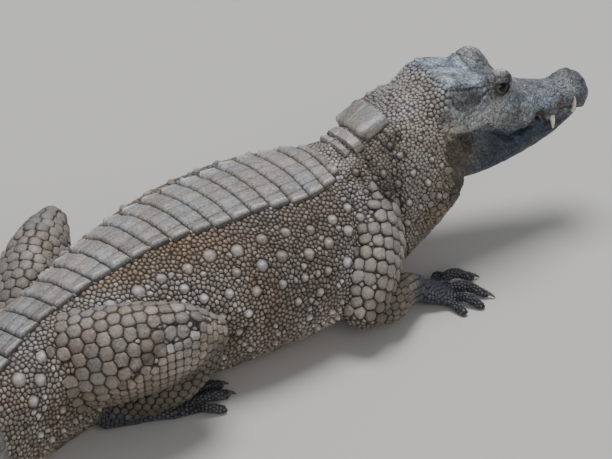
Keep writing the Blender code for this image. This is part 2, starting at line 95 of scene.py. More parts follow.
# The neck is bent to the right, so its left side is stretched thin: the left half width as a share of the right.
FAR_SIDE = ((-0.97, 1.00), (-0.25, 1.00), (-0.12, 1.05), (0.000, 1.07), (0.06, 1.07), (0.11, 0.96),
            (0.15, 0.84), (0.19, 0.69), (0.212, 0.66), (0.238, 0.92), (0.262, 1.00), (0.3, 1.00))
HEADING = ((-0.97, 70.0), (-0.6, 40.0), (-0.3, 15.0), (-0.15, 7.0), (0.000, 0.0), (0.15, -5.0),
           (0.36, -10.0))
CREST = ((-0.97, 0.003), (-0.9, 0.01), (-0.76, 0.016), (-0.62, 0.016), (-0.48, 0.01), (-0.36, 0.006),
         (-0.26, 0.000), (0.3, 0.000))
CRESTS_MEET = (-0.66, -0.56)  # between these the tail's two crests draw together into one
SKULL = (  # x, height of the crown; half width and height of the crown's edge, of the cheek and of the lip
    (-30, 38, 24, 34, 44, 14, 40, 0),
    (-12, 50, 34, 46, 54, 14, 50, 0),
    (0, 57, 38, 55, 57, 18, 54, 2),
    (22, 58, 37, 57, 57, 22, 55, 4),
    (43, 57, 34, 57, 53, 26, 51, 8),
    (58, 56, 34, 64, 49, 26, 47, 9),
    (72, 56, 35, 68, 46, 24, 44, -2),
    (86, 50, 32, 60.5, 44, 20, 42, -10),
    (101, 42.5, 24, 40, 41, 18, 39, -7),
    (122, 36.5, 20, 32.5, 37, 17, 36, 0),
    (131, 35, 18, 31, 35, 17, 34, 6),
    (144, 33, 17, 30, 34, 15, 33, -4),
    (156, 32.5, 16, 29.5, 31, 15, 29, 3),
    (171, 34, 15, 31, 27, 17, 25, 7),
    (184, 40, 18, 37, 29, 20, 26, 8),
    (197, 41, 16, 38, 25, 21, 22, 7),
    (208, 30, 9, 26, 14, 18, 12, 9),
)
JAW = (  # x, half width, heights of the lip, the widest place and the underside
    (-34, 38, 0, -18, -34),
    (-20, 50, 2, -26, -52),
    (0, 56, 2, -30, -62),
    (25, 56, 3, -30, -66),
    (50, 53, 6, -28, -65),
    (80, 47, -2, -26, -59),
    (93, 44, -10, -26, -55),
    (121, 39, 0, -20, -45),
    (140, 34, -3, -17, -37),
    (160, 29, 4, -11, -27),
    (180, 22, 7, -5, -14),
    (196, 13, 6, -1, -7),
)
SKULL_PLACE = np.array((0.2657, -0.0198, 0.1657))
SKULL_TURN = (-15.0, -8.0, -4.0)  # yaw, pitch, roll in degrees

# %% Curves and frames


def along(table, at):
    """A smooth curve through a table, read at 'at': a cubic between rows, with each row's slope from its
    neighbours."""
    rows = np.asarray(table, float)
    x, v = rows[:, 0], rows[:, 1:]
    step = np.diff(x)
    slope = np.diff(v, axis=0) / step[:, None]
    m = np.vstack([slope[:1], np.zeros_like(v[1:-1]), slope[-1:]])
    m[1:-1] = (slope[:-1] * step[1:, None] + slope[1:] * step[:-1, None]) / (step[:-1] + step[1:])[:, None]
    at = np.clip(np.asarray(at, float), x[0], x[-1])
    i = np.clip(np.searchsorted(x, at, side="right") - 1, 0, len(x) - 2)
    t, h = ((at - x[i]) / step[i])[:, None], step[i][:, None]
    return ((2*t**3 - 3*t**2 + 1) * v[i] + (t**3 - 2*t**2 + t) * h * m[i]
            + (3*t**2 - 2*t**3) * v[i + 1] + (t**3 - t**2) * h * m[i + 1])


def fade(x, low, high):
    """0 below low, 1 above high, and a smooth S between: 3t^2 - 2t^3."""
    t = np.clip((np.asarray(x, float) - low) / (high - low), 0, 1)
    return t * t * (3 - 2 * t)


def unit(v):
    """Vectors cut to length 1."""
    return v / np.maximum(np.linalg.norm(v, axis=-1, keepdims=True), 1e-9)


print("half width of the trunk at its middle:", along(TRUNK, [0.0])[0, 0])

# %% Trunk, neck and tail


def above_floor(points):
    """Points with none below the floor they rest on."""
    points[:, 2] = np.maximum(points[:, 2], 0.0)
    return points


def spine(s):
    """Place and direction of the spine at the distances s: the heading summed up from the trunk's middle."""
    d = np.linspace(TAIL_TIP, NECK_END, 500)
    a = np.radians(along(HEADING, d)[:, 0])
    mean = (a[1:] + a[:-1]) / 2
    x = np.concatenate([[0], np.cumsum(np.cos(mean) * np.diff(d))])
    y = np.concatenate([[0], np.cumsum(np.sin(mean) * np.diff(d))])
    x, y = x - np.interp(0, d, x), y - np.interp(0, d, y)
    return np.interp(s, d, x), np.interp(s, d, y), np.interp(s, d, a)


def rounded(c, n):
    """A circle's cosine or sine made squarer: a superellipse of order n."""
    return np.sign(c) * np.abs(c) ** (2.0 / n)


def crest(s, angle):
    """Height of the crest's root: two ridges 30 degrees off the midline, one ridge towards the tip."""
    double = np.clip((s - CRESTS_MEET[0]) / (CRESTS_MEET[1] - CRESTS_MEET[0]), 0, 1)
    middle, left, right = (np.maximum(0, 1 - np.abs(angle - at) / radians(14)) for at in (pi/2, pi/3, 2*pi/3))
    return along(CREST, s)[:, 0] * ((1 - double) * middle + double * (left + right))


def body(s, angle, inset=0.0, ridge=0.45):
    """Points of trunk and tail at flat arrays of distance and angle (0 left side, a quarter turn up): a
    superellipse square to the spine, which leans with it in the neck, plus a share of the tail's crest."""
    s, angle, inset = np.broadcast_arrays(*(np.asarray(v, float) for v in (s, angle, inset)))
    shape = s.shape
    s, angle, inset = s.ravel(), angle.ravel(), inset.ravel()
    x, y, a = spine(s)
    width, top, low, share, n_top, n_low = along(TRUNK, s).T
    rise = (along(TRUNK, s + MM)[:, 1:3] - along(TRUNK, s - MM)[:, 1:3]).sum(axis=1) / (4 * MM)
    lean = np.arctan(rise) * fade(s, 0.07, 0.15)
    middle = low + (top - low) * share
    c, d = np.cos(angle), np.sin(angle)
    n = np.where(d >= 0, n_top, n_low)
    reach = np.where(d >= 0, top - middle, middle - low)
    out = np.maximum(width - inset, 0.001) * rounded(c, n) * np.where(c > 0, along(FAR_SIDE, s)[:, 0], 1)
    up = np.maximum(reach - inset, 0.001) * rounded(d, n) + ridge * crest(s, angle)
    points = np.stack([x - out * np.sin(a) - up * np.sin(lean) * np.cos(a),
                       y + out * np.cos(a) - up * np.sin(lean) * np.sin(a),
                       np.maximum(middle + up * np.cos(lean), 0.0)], axis=-1)
    return points.reshape(*shape, 3)


print("middle of the back:", body(0.0, pi / 2).round(3))

# %% The skull's own frame


def skull_axes():
    """Forward, left and up of the skull as rows, turned by its yaw, pitch and roll."""
    yaw, pitch, roll = map(radians, SKULL_TURN)
    forward = np.array([cos(pitch) * cos(yaw), cos(pitch) * sin(yaw), sin(pitch)])
    level = np.array([-sin(yaw), cos(yaw), 0.0])
    left = level * cos(roll) + np.cross(forward, level) * sin(roll)
    return np.stack([forward, left, np.cross(forward, left)])


SKULL_AXES = skull_axes()


def from_skull(points):
    """Points in the skull's frame, in millimetres, as points in the world."""
    return np.asarray(points, float) * MM @ SKULL_AXES + SKULL_PLACE


def to_skull(points):
    """Points in the world as points in the skull's frame, in millimetres."""
    return (np.asarray(points, float) - SKULL_PLACE) @ SKULL_AXES.T / MM


print("back of the skull at", from_skull([0, 0, 0]).round(3))

# %% Skull and jaw


def closed_curve(half, count):
    """A smooth closed curve through a half section and its mirror image (Catmull-Rom), 'count' points each."""
    ring = np.concatenate([half, half[:, -2:0:-1] * np.array([-1, 1])], axis=1)
    k = ring.shape[1]
    t = np.arange(count) * k / count
    i = np.floor(t).astype(int)
    f = (t - i)[:, None]
    a, b, c, d = (ring[:, (i + o) % k] for o in (-1, 0, 1, 2))
    return 0.5 * (2*b + (c - a) * f + (2*a - 5*b + 4*c - d) * f**2 + (3*b - a - 3*c + d) * f**3)


def section(*pairs):
    """Half a section from pairs of half width and height, top middle to bottom middle."""
    return np.stack([np.stack([np.broadcast_to(w, z.shape), z], axis=-1) for w, z in pairs], axis=1)


def ringed(x, half, count):
    """Whole sections at the places x, from their halves."""
    outline = closed_curve(half, count)
    return np.concatenate([np.broadcast_to(x[:, None, None], outline.shape[:2] + (1,)), outline], axis=-1)


def skull_surface(x, count, inset):
    """The skull and upper jaw in its own frame, in millimetres: crown, crown's edge, cheek, lip and palate."""
    crown, edge, edge_z, cheek, cheek_z, lip, lip_z = along(SKULL, x).T
    half = section((0.0, crown - inset), (edge * 0.6, (crown + edge_z) / 2 + 0.2 - inset),
                   (edge - inset, edge_z - inset),
                   (edge * 0.35 + cheek * 0.65 - inset, edge_z * 0.62 + cheek_z * 0.38),
                   (cheek - inset, cheek_z), (lip - inset, lip_z),
                   (lip * 0.55, lip_z + 1), (0.0, lip_z + 2))
    return ringed(x, half, count)


def jaw_surface(x, count, inset):
    """The lower jaw in the skull's frame, in millimetres; its top reaches up into the palate."""
    width, lip, bulge, low = along(JAW, x).T
    half = section((0.0, lip + 4), (width * 0.7, lip + 3.5), (width * 0.92 - inset, lip - 1),
                   (width - inset, bulge),
                   (width * 0.72 - inset * 0.7, bulge * 0.25 + low * 0.75 + inset * 0.7), (0.0, low + inset))
    return ringed(x, half, count)


print("snout tip at", from_skull([208, 0, 20]).round(3), "tail tip at", body(TAIL_TIP, 0).round(3))

# %% [markdown]
# ## The legs and feet
#
# A leg is a chain of tapering tubes. Each row is a place along the bone with the flesh's half thickness across
# and upward. A tube is a circle carried along that path, squashed to an ellipse, and its ends are rounded off by
# a quarter circle so that it closes like a sausage. Left legs are mirror images, laid a little farther out.

# %% Tables of the limbs
# x, y, z, half thickness across and upward, all of the right side
THIGH = ((-0.255, -0.035, 0.09, 0.036, 0.044), (-0.22, -0.066, 0.1, 0.042, 0.052),
         (-0.175, -0.092, 0.106, 0.04, 0.05), (-0.135, -0.108, 0.106, 0.032, 0.04),
         (-0.105, -0.115, 0.1, 0.019, 0.025))
SHANK = ((-0.114, -0.112, 0.086, 0.02, 0.024), (-0.14, -0.105, 0.062, 0.022, 0.026),
         (-0.168, -0.09, 0.042, 0.017, 0.02), (-0.195, -0.072, 0.026, 0.013, 0.016))
HIND_FOOT = ((-0.206, -0.066, 0.018, 0.01, 0.012), (-0.185, -0.07, 0.016, 0.014, 0.014),
             (-0.155, -0.078, 0.012, 0.017, 0.011), (-0.13, -0.085, 0.007, 0.019, 0.008),
             (-0.114, -0.09, 0.005, 0.016, 0.006))
UPPER_ARM = ((0.158, -0.05, 0.11, 0.034, 0.042), (0.137, -0.085, 0.092, 0.033, 0.04),
             (0.112, -0.108, 0.066, 0.031, 0.036), (0.095, -0.118, 0.042, 0.025, 0.028))
FOREARM = ((0.106, -0.117, 0.034, 0.017, 0.019), (0.125, -0.118, 0.038, 0.025, 0.027),
           (0.155, -0.112, 0.034, 0.019, 0.021), (0.182, -0.106, 0.024, 0.015, 0.016))
HAND = ((0.176, -0.107, 0.022, 0.012, 0.012), (0.196, -0.111, 0.015, 0.02, 0.012),
        (0.214, -0.117, 0.009, 0.022, 0.008), (0.224, -0.12, 0.006, 0.018, 0.006))
FINGERS = (  # root, knuckle, tip, thickness, whether there is a claw
    ((0.208, -0.103, 0.008), (0.226, -0.094, 0.012), (0.24, -0.092, 0.005), 0.0058, True),
    ((0.214, -0.108, 0.009), (0.24, -0.104, 0.015), (0.262, -0.112, 0.006), 0.0062, True),
    ((0.216, -0.116, 0.008), (0.238, -0.128, 0.012), (0.252, -0.146, 0.005), 0.0062, True),
    ((0.212, -0.124, 0.007), (0.226, -0.142, 0.01), (0.234, -0.158, 0.004), 0.0056, False),
    ((0.204, -0.127, 0.006), (0.209, -0.142, 0.008), (0.211, -0.155, 0.004), 0.005, False),
)
TOES = (
    ((-0.125, -0.076, 0.007), (-0.105, -0.07, 0.009), (-0.088, -0.071, 0.005), 0.0066, True),
    ((-0.12, -0.083, 0.007), (-0.096, -0.081, 0.01), (-0.074, -0.084, 0.005), 0.0068, True),
    ((-0.12, -0.092, 0.007), (-0.098, -0.096, 0.009), (-0.078, -0.101, 0.005), 0.0066, True),
    ((-0.126, -0.099, 0.006), (-0.11, -0.109, 0.008), (-0.095, -0.118, 0.004), 0.0058, False),
)
LEFT_SPLAY, LEFT_HIP, LEFT_SHOULDER = (-0.008, 0.04, 0.0), (0.013, -0.018, -0.04), (0.000, -0.01, -0.02)
CLAW_LENGTH = 0.012


def splayed(path, side, first=LEFT_SPLAY, last=LEFT_SPLAY, thick=1.0):
    """The right limb's rows for either side; the left ones are shifted, by 'first' at the root and 'last' at the
    end, and their thickness is multiplied by 'thick'."""
    rows = np.array(path, float)
    if side < 0:
        share = np.linspace(0, 1, len(rows))[:, None]
        rows[:, :3] += (np.array(first) * (1 - share) + np.array(last) * share) * np.array([1, -1, 1])
        rows[:, 3:] *= thick
    return rows


def thigh_of(side):
    """The thigh's rows; the left hip is drawn in and a little thinner."""
    return splayed(THIGH, side, LEFT_HIP, LEFT_SPLAY, 0.92)


def arm_of(side):
    """The upper arm's rows; the left shoulder is drawn in."""
    return splayed(UPPER_ARM, side, LEFT_SHOULDER, (0, 0, 0))


def toe_path(toe):
    """A toe's three joints as rows of a limb, thinning towards the tip."""
    *joints, thick, _ = toe
    return np.array([(*place, share * thick, share * thick) for place, share in zip(joints, (1.0, 0.95, 0.72))])


print(len(TOES), "toes and", len(FINGERS), "fingers on each side")

# %% Limbs as tubes


def limb(path, side, t, angle, inset=0.0):
    """Points of a limb at flat arrays t (0 to 1 along it) and angle (0 level, a quarter turn up): an ellipse
    square to the path. The last part at each end shrinks by a quarter circle, so the limb ends rounded."""
    rows = np.array(path, float) * np.array([1, side, 1, 1, 1])
    length = np.concatenate([[0], np.cumsum(np.linalg.norm(np.diff(rows[:, :3], axis=0), axis=1))])
    t, angle = np.broadcast_arrays(np.asarray(t, float), np.asarray(angle, float))
    shape = t.shape
    t, angle = t.ravel(), angle.ravel()
    ends = np.array([rows[0, 3], rows[-1, 3]]) * 0.8
    at = -ends[0] + t * (length[-1] + ends.sum())
    table = np.column_stack([length, rows])
    inside = np.clip(at, 0, length[-1])
    read = along(table, inside)
    ahead = unit(along(table, inside + 0.0005)[:, :3] - along(table, inside - 0.0005)[:, :3])
    beyond = np.minimum(at, 0) + np.maximum(at - length[-1], 0)
    cap = np.where(beyond < 0, ends[0], ends[1])
    shrink = np.sqrt(np.maximum(1 - (beyond / cap) ** 2, 0.0004))
    level = unit(np.cross([0.0, 0.0, 1.0], ahead))
    normal = np.cross(ahead, level)
    across, upward = ((read[:, k] - inset) * shrink for k in (3, 4))
    points = (read[:, :3] + ahead * beyond[:, None] + level * (across * np.cos(angle))[:, None]
              + normal * (upward * np.sin(angle))[:, None])
    return above_floor(points).reshape(*shape, 3)


def limb_span(path):
    """A limb's length in metres, with its rounded ends."""
    return np.linalg.norm(np.diff(path[:, :3], axis=0), axis=1).sum() + 1.6 * path[[0, -1], 3].mean()


def is_digit(name):
    """Whether a limb piece is a toe or a finger."""
    return name.startswith(("toe", "finger"))


def limb_list():
    """Every limb piece of the animal: its name, its side as a word, its path, and its side as a sign."""
    for word, side in SIDES.items():
        leg = (thigh_of(side), splayed(SHANK, side), splayed(HIND_FOOT, side))
        for name, path in zip(("thigh", "shank", "hind_foot", "upper_arm", "forearm", "hand"),
                              (*leg, arm_of(side), FOREARM, HAND)):
            yield name, word, np.array(path), side
        for name, digits in (("toe", [(*splayed(t[:3], side), *t[3:]) for t in TOES]), ("finger", FINGERS)):
            for k, digit in enumerate(digits):
                yield name + str(k + 1), word, toe_path(digit), side


print("limb pieces:", len(list(limb_list())))

# %% [markdown]
# ## One skin
#
# The flesh nodes are parted by thin cuts, but a hide has no seams. So the skin is built again from the same
# sections, a coat's depth farther in: a fine tube for trunk and tail, two for skull and jaw, and one for each
# limb piece. A Boolean union welds them into one closed surface, and the sharp corners where a leg meets the
# trunk are relaxed: each point moves to the mean of its neighbours, most where the corner was, fading out with
# distance.

# %% Helpers for meshes
COAT = 0.003  # depth of the armour over trunk, neck and tail
LIMB_COAT, DIGIT_COAT = 0.0012, 0.0004
HEAD_COAT = 0.5  # millimetres, in the skull's frame


def grid_faces(rows, columns, closed=True):
    """Quads of a grid of points, its columns closed into rings or left open."""
    index = np.arange(rows * columns).reshape(rows, columns)
    right = np.roll(index, -1, axis=1)
    quads = np.stack([index[:-1], right[:-1], right[1:], index[1:]], axis=-1)
    return quads.reshape(-1, 4) if closed else quads[:, :-1].reshape(-1, 4)


def add_object(name, data):
    """A new object in the scene."""
    made = bpy.data.objects.new(name, data)
    bpy.context.scene.collection.objects.link(made)
    return made


def tube(name, points):
    """A closed solid from rings of points with a flat face on each end, turned so that its faces look outward:
    if its volume, summed from the origin, comes out negative, every face is reversed."""
    n, m = points.shape[:2]
    quads = grid_faces(n, m)
    flat = points.reshape(-1, 3)
    centre = flat.mean(axis=0)
    a, b, c, d = (flat[quads[:, k]] - centre for k in range(4))
    volume = (np.cross(b - a, c - a) * a).sum() + (np.cross(c - a, d - a) * a).sum()
    if volume < 0:
        quads = quads[:, ::-1]
    turn = 1 if volume < 0 else -1
    ends = [list(range(m))[::turn], list(range((n - 1) * m, n * m))[::-turn]]
    mesh = bpy.data.meshes.new(name)
    mesh.from_pydata(flat.tolist(), [], quads.tolist() + ends)
    return add_object(name, mesh)


def settle(piece):
    """Apply all of a piece's modifiers."""
    graph = bpy.context.evaluated_depsgraph_get()
    mesh = bpy.data.meshes.new_from_object(piece.evaluated_get(graph))
    old = piece.data
    piece.modifiers.clear()
    piece.data = mesh
    bpy.data.meshes.remove(old)
    return piece


def weld(piece, tools, operation="UNION"):
    """Boolean the tools with the piece, and remove them."""
    for tool in tools:
        step = piece.modifiers.new("weld", "BOOLEAN")
        step.operation, step.solver, step.object = operation, "MANIFOLD", tool
    settle(piece)
    for tool in tools:
        bpy.data.objects.remove(tool)
    return piece


def read_all(items, what, width=3, kind=np.float32):
    """One property of all the points, edges or faces of a mesh, as rows of 'width' numbers."""
    out = np.empty(len(items) * width, kind)
    items.foreach_get(what, out)
    return out.reshape(-1, width) if width > 1 else out


def read_points(mesh):
    return read_all(mesh.vertices, "co").astype(float)


def read_both(mesh):
    """A mesh's points and the directions they face."""
    return read_points(mesh), read_all(mesh.vertex_normals, "vector").astype(float)


def read_edges(mesh):
    return read_all(mesh.edges, "vertices", 2, np.int32)


def write_points(mesh, points):
    mesh.vertices.foreach_set("co", points.astype(np.float32).ravel())
    mesh.update()


# %% The raw skin
BODY_STEP, BODY_SIDES = 0.005, 144
stations = np.concatenate([TAIL_TIP + 0.004 * np.array([0, 1, 2]),
                           np.arange(TAIL_TIP + 0.014, NECK_END, BODY_STEP)])
turns = np.linspace(0, 2 * pi, BODY_SIDES, endpoint=False)
depth = np.minimum(COAT, 0.12 * (stations - TAIL_TIP))
skin = tube("skin", body(stations[:, None], turns[None, :], depth[:, None]))
skull_x = np.concatenate([np.arange(-30, 200, 1.8), 208 - 8 * np.cos(np.linspace(0, pi / 2, 7)) ** 2])
jaw_x = np.concatenate([np.arange(-34, 190, 2.4), [192, 194, 195.5]])
extra = [tube("skull", from_skull(skull_surface(skull_x, 168, HEAD_COAT))),
         tube("jaw", from_skull(jaw_surface(jaw_x, 112, HEAD_COAT)))]
for name, word, path, side in limb_list():
    span, small = limb_span(path), is_digit(name)
    step, around = (0.0022, 12) if small else (0.0042, 52 if name in ("thigh", "upper_arm") else 34)
    t = (1 - np.cos(np.linspace(0, pi, 9))) / 2
    even = np.linspace(0, 1, max(8, round(span / step)))
    t = np.unique(np.concatenate([even, t * 0.1, 1 - t * 0.1]).round(4))
    angles = np.linspace(0, 2 * pi, around, endpoint=False)
    inset = DIGIT_COAT if small else LIMB_COAT
    extra.append(tube(name + word, limb(path, side, t[:, None], angles[None, :], inset)))
weld(skin, extra)
print("raw skin:", len(skin.data.vertices), "points,", len(skin.data.polygons), "faces")

# %% Relaxing the corners


def concave_ends(mesh):
    """Which points lie on an inner corner: the second face of an edge rises above the first one's plane."""
    centre, normal = (read_all(mesh.polygons, what) for what in ("center", "normal"))
    sides = read_all(mesh.polygons, "loop_total", 1, np.int32)
    edge_of = read_all(mesh.loops, "edge_index", 1, np.int32)
    face_of = np.repeat(np.arange(len(sides)), sides)[np.argsort(edge_of, kind="stable")].reshape(-1, 2)
    gap = centre[face_of[:, 1]] - centre[face_of[:, 0]]
    rise = (normal[face_of[:, 0]] * gap).sum(axis=1) / np.maximum(np.linalg.norm(gap, axis=1), 1e-9)
    found = np.zeros(len(mesh.vertices), bool)
    found[read_edges(mesh)[rise > 0.18].ravel()] = True
    return found


def spread(seed, edges, lengths, reach):
    """1 on the seeds, fading to 0 at a distance of 'reach' along the edges."""
    share = seed.astype(float)
    for _ in range(26):
        a, b = share[edges[:, 0]] - lengths / reach, share[edges[:, 1]] - lengths / reach
        np.maximum.at(share, edges[:, 1], a)
        np.maximum.at(share, edges[:, 0], b)
    return np.clip(share, 0, 1)


def relax(points, edges, share, rounds):
    """Each round moves every point half way to the mean of its neighbours, times its share."""
    many = len(points)
    count = np.bincount(edges.ravel(), minlength=many)
    for _ in range(rounds):
        mean = np.stack([np.bincount(edges[:, 0], points[edges[:, 1], k], many)
                         + np.bincount(edges[:, 1], points[edges[:, 0], k], many) for k in range(3)], axis=1)
        points = points + share[:, None] * 0.5 * (mean / np.maximum(count, 1)[:, None] - points)
    return points


points, edges = read_points(skin.data), read_edges(skin.data)
lengths = np.linalg.norm(points[edges[:, 0]] - points[edges[:, 1]], axis=1)
face_side = fade(to_skull(points)[:, 0], -6, 22)
share = spread(concave_ends(skin.data), edges, lengths, 0.016)
share = fade(share, 0.0, 0.75) * (1 - face_side)
points = relax(points, edges, share, 14)
write_points(skin.data, points)
print("relaxed", int((share > 0.5).sum()), "of", len(points), "points")

# %% [markdown]
# ## The head's own forms
#
# The loft gives a skull its proportions, but its character comes from smaller forms: the raised rim of the skull
# table with the ear flap tucked under it, the bony lids over the eyes, swellings over the big teeth, the nasal
# hump, and folds of loose hide behind the jaw. Each one is a soft bump or a groove. A bump lifts the surface by
# h * exp(-d^2) round a centre, a groove lowers it along a line, and a slow random noise keeps both from looking
# turned on a lathe.

# %% Bumps, grooves and noise


def noise(points, size, seed=0):
    """Smooth random values from -1 to 1: random numbers on the corners of cubes of 'size', blended between."""
    at = points / size
    low = np.floor(at).astype(np.int64)
    f = at - low
    f = f * f * (3 - 2 * f)
    total = np.zeros(len(points))
    for corner in range(8):
        bits = np.array([corner & 1, corner >> 1 & 1, corner >> 2 & 1])
        cell = low + bits
        stirred = ((cell[:, 0] * 73856093) ^ (cell[:, 1] * 19349663) ^ (cell[:, 2] * 83492791)
                   ^ (seed * 2654435761))
        stirred = (stirred ^ (stirred >> 13)) * 1274126177
        value = ((stirred ^ (stirred >> 16)) & 0xFFFF) / 32767.5 - 1
        total += value * np.prod(np.where(bits, f, 1 - f), axis=1)
    return total


def off_line(points, line):
    """Distance from every point to a chain of straight pieces."""
    best = np.full(len(points), 1e9)
    line = np.asarray(line, float)
    for a, b in zip(line[:-1], line[1:]):
        t = np.clip(((points - a) @ (b - a)) / ((b - a) @ (b - a)), 0, 1)
        best = np.minimum(best, np.linalg.norm(points - a - t[:, None] * (b - a), axis=1))
    return best


def bump(points, centre, radii):
    """1 at the centre, falling off as exp(-d^2), with d measured in the given radii."""
    return np.exp(-(((points - np.array(centre, float)) / np.array(radii, float)) ** 2).sum(axis=1))


def onto_skin(points):
    """The nearest places on the skin, and the skin's smooth directions there, from two shrinkwraps: one lands
    on the surface, the other a millimetre above it."""
    mesh = bpy.data.meshes.new("cloud")
    mesh.vertices.add(len(points))
    write_points(mesh, points)
    cloud = add_object("cloud", mesh)
    step = cloud.modifiers.new("wrap", "SHRINKWRAP")
    step.target, step.wrap_method = skin, "NEAREST_SURFACEPOINT"
    found = []
    for step.wrap_mode, step.offset in (("ON_SURFACE", 0.0), ("ABOVE_SURFACE", MM)):
        shaped = cloud.evaluated_get(bpy.context.evaluated_depsgraph_get())
        found.append(read_points(shaped.to_mesh()))
        shaped.to_mesh_clear()
    bpy.data.objects.remove(cloud)
    bpy.data.meshes.remove(mesh)
    return found[0], unit(found[1] - found[0])


def snapped(line):
    """A line given in the skull's frame, on the animal's right, cut fine and laid on the skin; then folded over
    to positive y, so that one line serves both sides."""
    line = np.asarray(line, float) * np.array([1, -1, 1])
    t = np.linspace(0, len(line) - 1, 10 * len(line) - 9)
    fine = np.column_stack([np.interp(t, np.arange(len(line)), line[:, k]) for k in range(3)])
    laid = to_skull(onto_skin(from_skull(fine))[0])
    return laid * np.array([1, -1, 1])


print("the snout's tip:", onto_skin(from_skull([[208, 0, 20]]))[0][0].round(3))

# %% Tables of the head's forms
# The parting of the lips follows the skull's table: the places of the lip on every section.
lip_x = np.arange(20, 199, 6.0)
lips = along(SKULL, lip_x)
MOUTH = np.vstack([[[2, 62, 10], [11, 61, 7]], np.column_stack([lip_x, lips[:, 5] + 3, lips[:, 6] - 1.0])])
# Grooves on both sides of the head: line, width, depth in millimetres. A negative depth makes a ridge.
HEAD_GROOVES = (
    (((4, 36, 58), (16, 37, 58), (32, 37.5, 58), (47, 36.5, 59), (56, 34, 61)), 2.2, -2.4),  # rim of the table
    (((4, 32, 57), (2, 14, 57), (2, 0, 57)), 2.4, -1.8),
    (((1, 42, 53), (16, 43, 53.5), (32, 43, 53.5), (46, 41.5, 54), (56, 40, 55)), 2.0, 3.2),  # under the rim
    (((54, 43, 50), (46, 46, 46), (39, 48.5, 42.5), (26, 52.5, 37), (14, 55, 34), (7, 53, 40), (3, 48, 49)),
     1.3, 2.8),  # lower edge of the ear flap
    (((52, 42, 57), (55, 34, 61), (56, 26, 61), (57, 12, 58)), 2.0, 2.8),  # between table and brow
    (((61, 16, 62), (75, 15, 60), (89, 13, 52)), 3.0, 1.8),  # inner edge of the brow
    (((87, 42, 56), (91, 34, 52), (92, 26, 48)), 2.6, 1.8),  # front end of the brow
    (((58, 42, 63), (69, 42, 65.5), (80, 39, 63.5), (89, 34, 57)), 1.5, 2.0),  # between lid and its cap
    (((54, 47, 46), (60, 49, 38), (70, 49, 33), (80, 46, 35), (89, 42, 43)), 1.5, 1.1),  # round the lower lid
    (((60, 52, 26), (74, 48, 25), (92, 42, 24)), 2.0, 0.8),
    (((24, 56, 26), (44, 54, 22), (66, 48, 17)), 2.4, 0.9),
    (((166, 26, 40), (168, 18, 42), (168, 8, 43)), 3.0, 1.2),  # behind the nasal hump
    (((176, 22, 38), (184, 24, 36), (192, 20, 34)), 2.4, 0.8),
    (((-1, 56, 8), (-1, 58, -8), (2, 55, -24), (9, 50, -40), (19, 42, -56)), 2.4, 3.6),  # behind the jaw
    (((-2, 60, 14), (10, 61, 17), (24, 60, 15), (36, 60, 17)), 2.2, 1.0),  # at the corner of the mouth
    (((0, 60, 2), (14, 60, -2), (30, 60, -2)), 2.4, 1.0),
    (((10, 52, -58), (2, 58, -42), (-5, 60, -22), (-7, 62, -4), (-9, 62, 12), (-9, 60, 30)), 3.6, 4.4),
    (((20, 60, -24), (60, 56, -26), (100, 48, -20), (150, 34, -10)), 2.4, 0.8),
    (((14, 60, -40), (56, 56, -42), (100, 44, -34)), 2.8, 1.0),
    (((30, 60, -8), (60, 58, -12), (88, 50, -18)), 2.0, 0.7),
)
HEAD_BUMPS = (  # centre, radii, height
    ((26, 51, 45), (20, 12, 6.5), 3.6),  # the ear flap
    ((70, 44, 65), (14, 8, 5), 3.4),  # the bony lid over the eye
    ((82, 40, 58), (7, 7, 5), 1.4),
    ((71, 0, 61), (15, 13, 12), -3.0),  # the hollow between the brows
    ((66, 48, 30), (14, 8, 5), 1.6),  # under the eye
    ((40, 58, 22), (22, 9, 8), 1.6),  # the cheek
    ((118, 22, 36), (17, 6, 6), 1.6),  # ridge from the eye to the nose
    ((104, 26, 40), (10, 6, 6), 1.4),
    ((148, 36, 14), (9, 6, 7), 2.4),  # over the big upper tooth
    ((131, 40, 10), (6, 6, 5), -4.2),  # hollow before it
    ((167, 34, 15), (7, 7, 8), -3.6),  # the notch of the lower tooth
    ((183, 24, 3), (5, 6, 5), 3.4),  # the lip that carries it
    ((94, 48, -4), (14, 8, 6), 1.6),  # the deep wave of the lip
    ((190, 20, 24), (7, 7, 7), 1.2),
    ((181, 12, 45), (7, 6, 6), 1.8),  # rims of the nostrils
    ((30, 60, -14), (24, 8, 9), 1.4),
    ((22, 58, -48), (26, 12, 10), 2.0),  # the jaw's muscle
)
# Forms that are pushed sideways or up instead of straight out: centre, radii, push along x, y and z.
HEAD_PUSHES = (
    ((72, 40, 59.0), (15, 9, 3.8), (0, 6.0, -0.6)),  # the lid's edge overhangs the eye
    ((25, 50, 44), (19, 12, 6.0), (0, 3.4, -1.6)),  # the ear flap hangs over its crease
    ((68, 46, 33), (12, 8, 4.5), (0, 1.6, 0.6)),  # the pouch under the eye
)
print(len(HEAD_GROOVES), "grooves,", len(HEAD_BUMPS), "bumps,", len(HEAD_PUSHES), "pushes")

# %% The forms laid on the head
HEAD_GROOVES = [(snapped(line), width, depth) for line, width, depth in HEAD_GROOVES]
MOUTH = snapped(MOUTH)
HEAD_BUMPS = [(snapped((centre, centre))[0] if centre[1] > 0 else centre, radii, height)
              for centre, radii, height in HEAD_BUMPS]


def mirrored(local):
    """Places in the skull's frame with both sides laid on the one where y is positive."""
    return np.column_stack([local[:, 0], np.abs(local[:, 1]), local[:, 2]])


